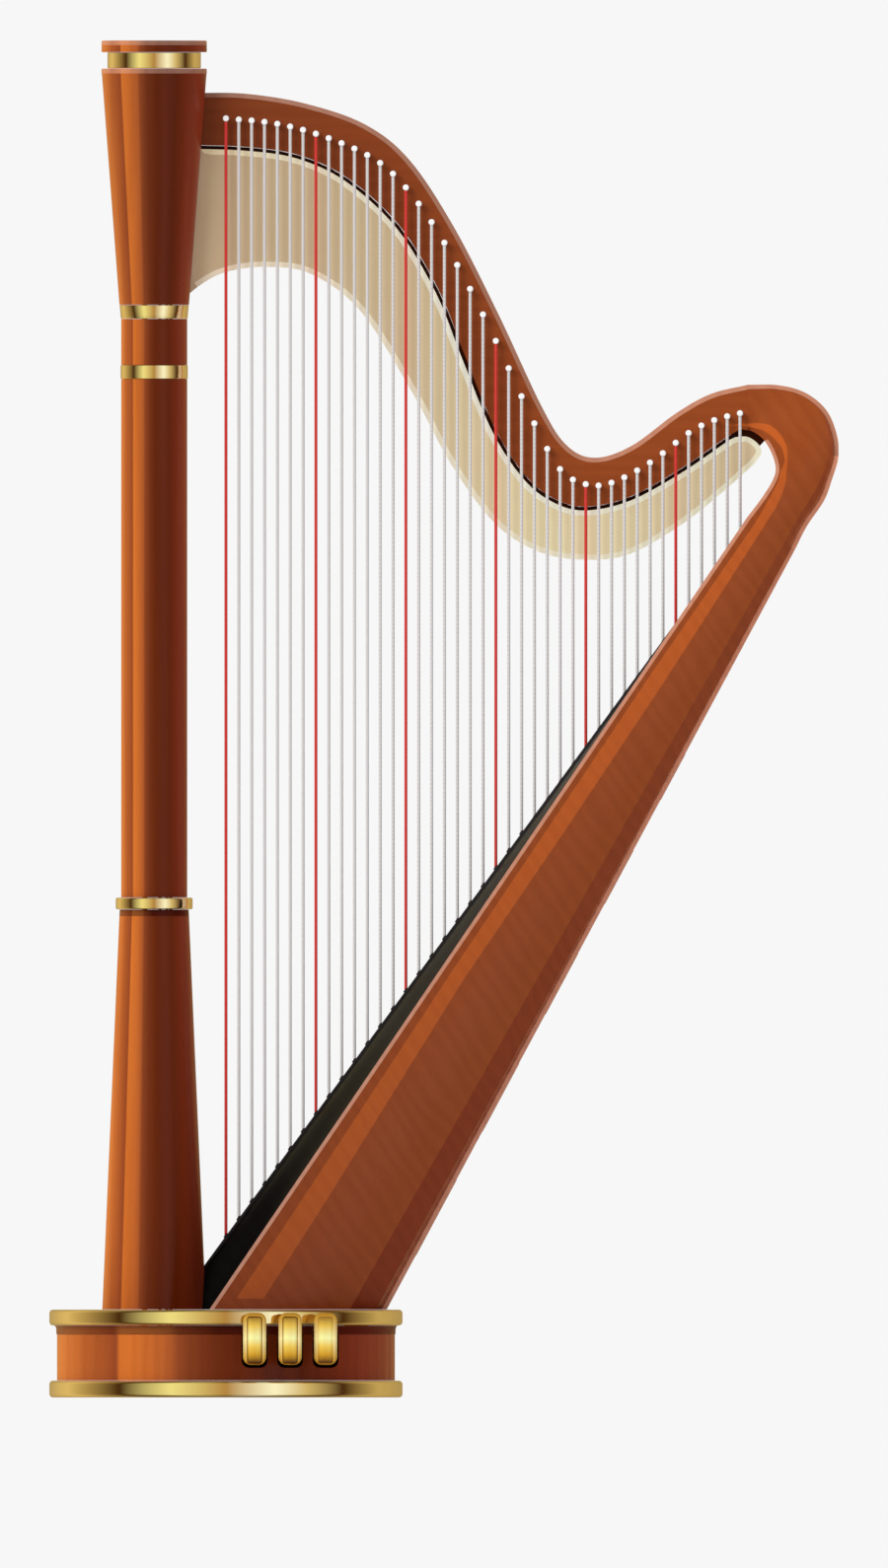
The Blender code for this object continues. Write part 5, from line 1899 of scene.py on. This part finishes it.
@dataclass
class Studio:
    """Pale floor, soft studio light and a level camera."""

    width_px: int = 900
    height_px: int = 1590
    scale: float = 0.0013081
    middle_z: float = 0.8137
    backdrop: float = 0.93

    def camera(self) -> None:
        """Places the level camera that looks along +Y."""
        data = bpy.data.cameras.new("camera")
        data.type = "ORTHO"
        data.ortho_scale = max(self.width_px, self.height_px) * self.scale
        data.clip_end = 40.0
        camera = bpy.data.objects.new("camera", data)
        camera.location = (0.0, -6.0, self.middle_z)
        camera.rotation_euler = (math.pi / 2, 0.0, 0.0)
        bpy.context.scene.collection.objects.link(camera)
        bpy.context.scene.camera = camera

    def floor(self) -> None:
        """Lays the plain pale floor."""
        bm = bmesh.new()
        bmesh.ops.create_grid(bm, x_segments=1, y_segments=1, size=4.0)
        mesh = bpy.data.meshes.new("studio_floor")
        bm.to_mesh(mesh)
        bm.free()
        floor = bpy.data.objects.new("studio_floor", mesh)
        floor.location = (0.0, 0.0, -0.0008)
        mesh.materials.append(Recipe("studio_floor").dress(Base_Color=(0.82, 0.82, 0.82), Roughness=0.9,
                                                           Specular_IOR_Level=0.1))
        floor.visible_glossy = False
        bpy.context.scene.collection.objects.link(floor)

    def lamp(self, lamp: Lamp) -> None:
        """Hangs one of the lamps."""
        data = bpy.data.lights.new(lamp.name, "SUN")
        data.energy, data.angle = lamp.strength * math.pi, math.radians(lamp.size)
        data.use_shadow = lamp.shadow
        hung = bpy.data.objects.new(lamp.name, data)
        a, e = math.radians(lamp.azimuth), math.radians(lamp.elevation)
        towards = Vector((math.sin(a) * math.cos(e), -math.cos(a) * math.cos(e), math.sin(e)))
        hung.rotation_mode = "QUATERNION"
        hung.rotation_quaternion = towards.to_track_quat("Z", "Y")
        hung.visible_glossy = False
        bpy.context.scene.collection.objects.link(hung)

    def world(self) -> None:
        """Wraps the scene in a pale room whose soft boxes show only in gloss."""
        world = bpy.data.worlds.new("studio")
        world.use_nodes = True
        bpy.context.scene.world = world
        world.node_tree.nodes.clear()
        bench = Bench(world.node_tree)
        split = bench.node("ShaderNodeSeparateXYZ")
        bench.feed(split.inputs[0], bench.node("ShaderNodeTexCoord").outputs["Generated"])
        turn = bench.math("ARCTAN2", split.outputs["X"], bench.math("MULTIPLY", split.outputs["Y"], -1.0))
        share = bench.math("MULTIPLY_ADD", turn, 1.0 / math.tau, 0.5)
        boxes = bench.colours(share, [((angle + 180.0) / 360.0, colour) for angle, colour in SOFT_BOXES])
        height = bench.ramp(bench.math("ABSOLUTE", split.outputs["Z"]), (0.50, 1.0), (0.80, 0.45))
        shells = {}
        for name, colour, strength in (("gloss", bench.mix(1.0, boxes, height, "MULTIPLY"), 1.0),
                                       ("soft", (1.0, 1.0, 1.0), FILL),
                                       ("seen", (1.0, 1.0, 1.0), self.backdrop)):
            shell = bench.node("ShaderNodeBackground")
            bench.feed(shell.inputs["Color"], colour)
            shell.inputs["Strength"].default_value = strength
            shells[name] = shell.outputs[0]
        path = bench.node("ShaderNodeLightPath")
        first, second = bench.node("ShaderNodeMixShader"), bench.node("ShaderNodeMixShader")
        for mixer, parts in ((first, (path.outputs["Is Glossy Ray"], shells["soft"], shells["gloss"])),
                             (second, (path.outputs["Is Camera Ray"], first.outputs[0], shells["seen"]))):
            for number, part in enumerate(parts):
                bench.feed(mixer.inputs[number], part)
        bench.feed(bench.node("ShaderNodeOutputWorld").inputs["Surface"], second.outputs[0])

    def build(self) -> None:
        """Sets up the whole studio."""
        self.camera()
        self.floor()
        self.world()
        for lamp in LAMPS:
            self.lamp(lamp)
        settings = bpy.context.scene.view_settings
        settings.view_transform, settings.look = "Standard", "None"
        settings.exposure, settings.gamma = 0.0, 1.0


def main() -> None:
    """Builds every sub-assembly in order and reports each piece."""
    logging.basicConfig(level=logging.INFO, format="%(message)s")
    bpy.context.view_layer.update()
    Studio().build()
    layout = Layout()
    palette = Palette(layout)
    Base(layout, palette).build()
    Column(layout, palette).build()
    Neck(layout, palette).build()
    Soundbox(layout, palette).build()
    Strings(layout, palette).build()
    Pedals(layout, palette).build()
    bpy.context.view_layer.update()


if __name__ == "__main__":
    main()
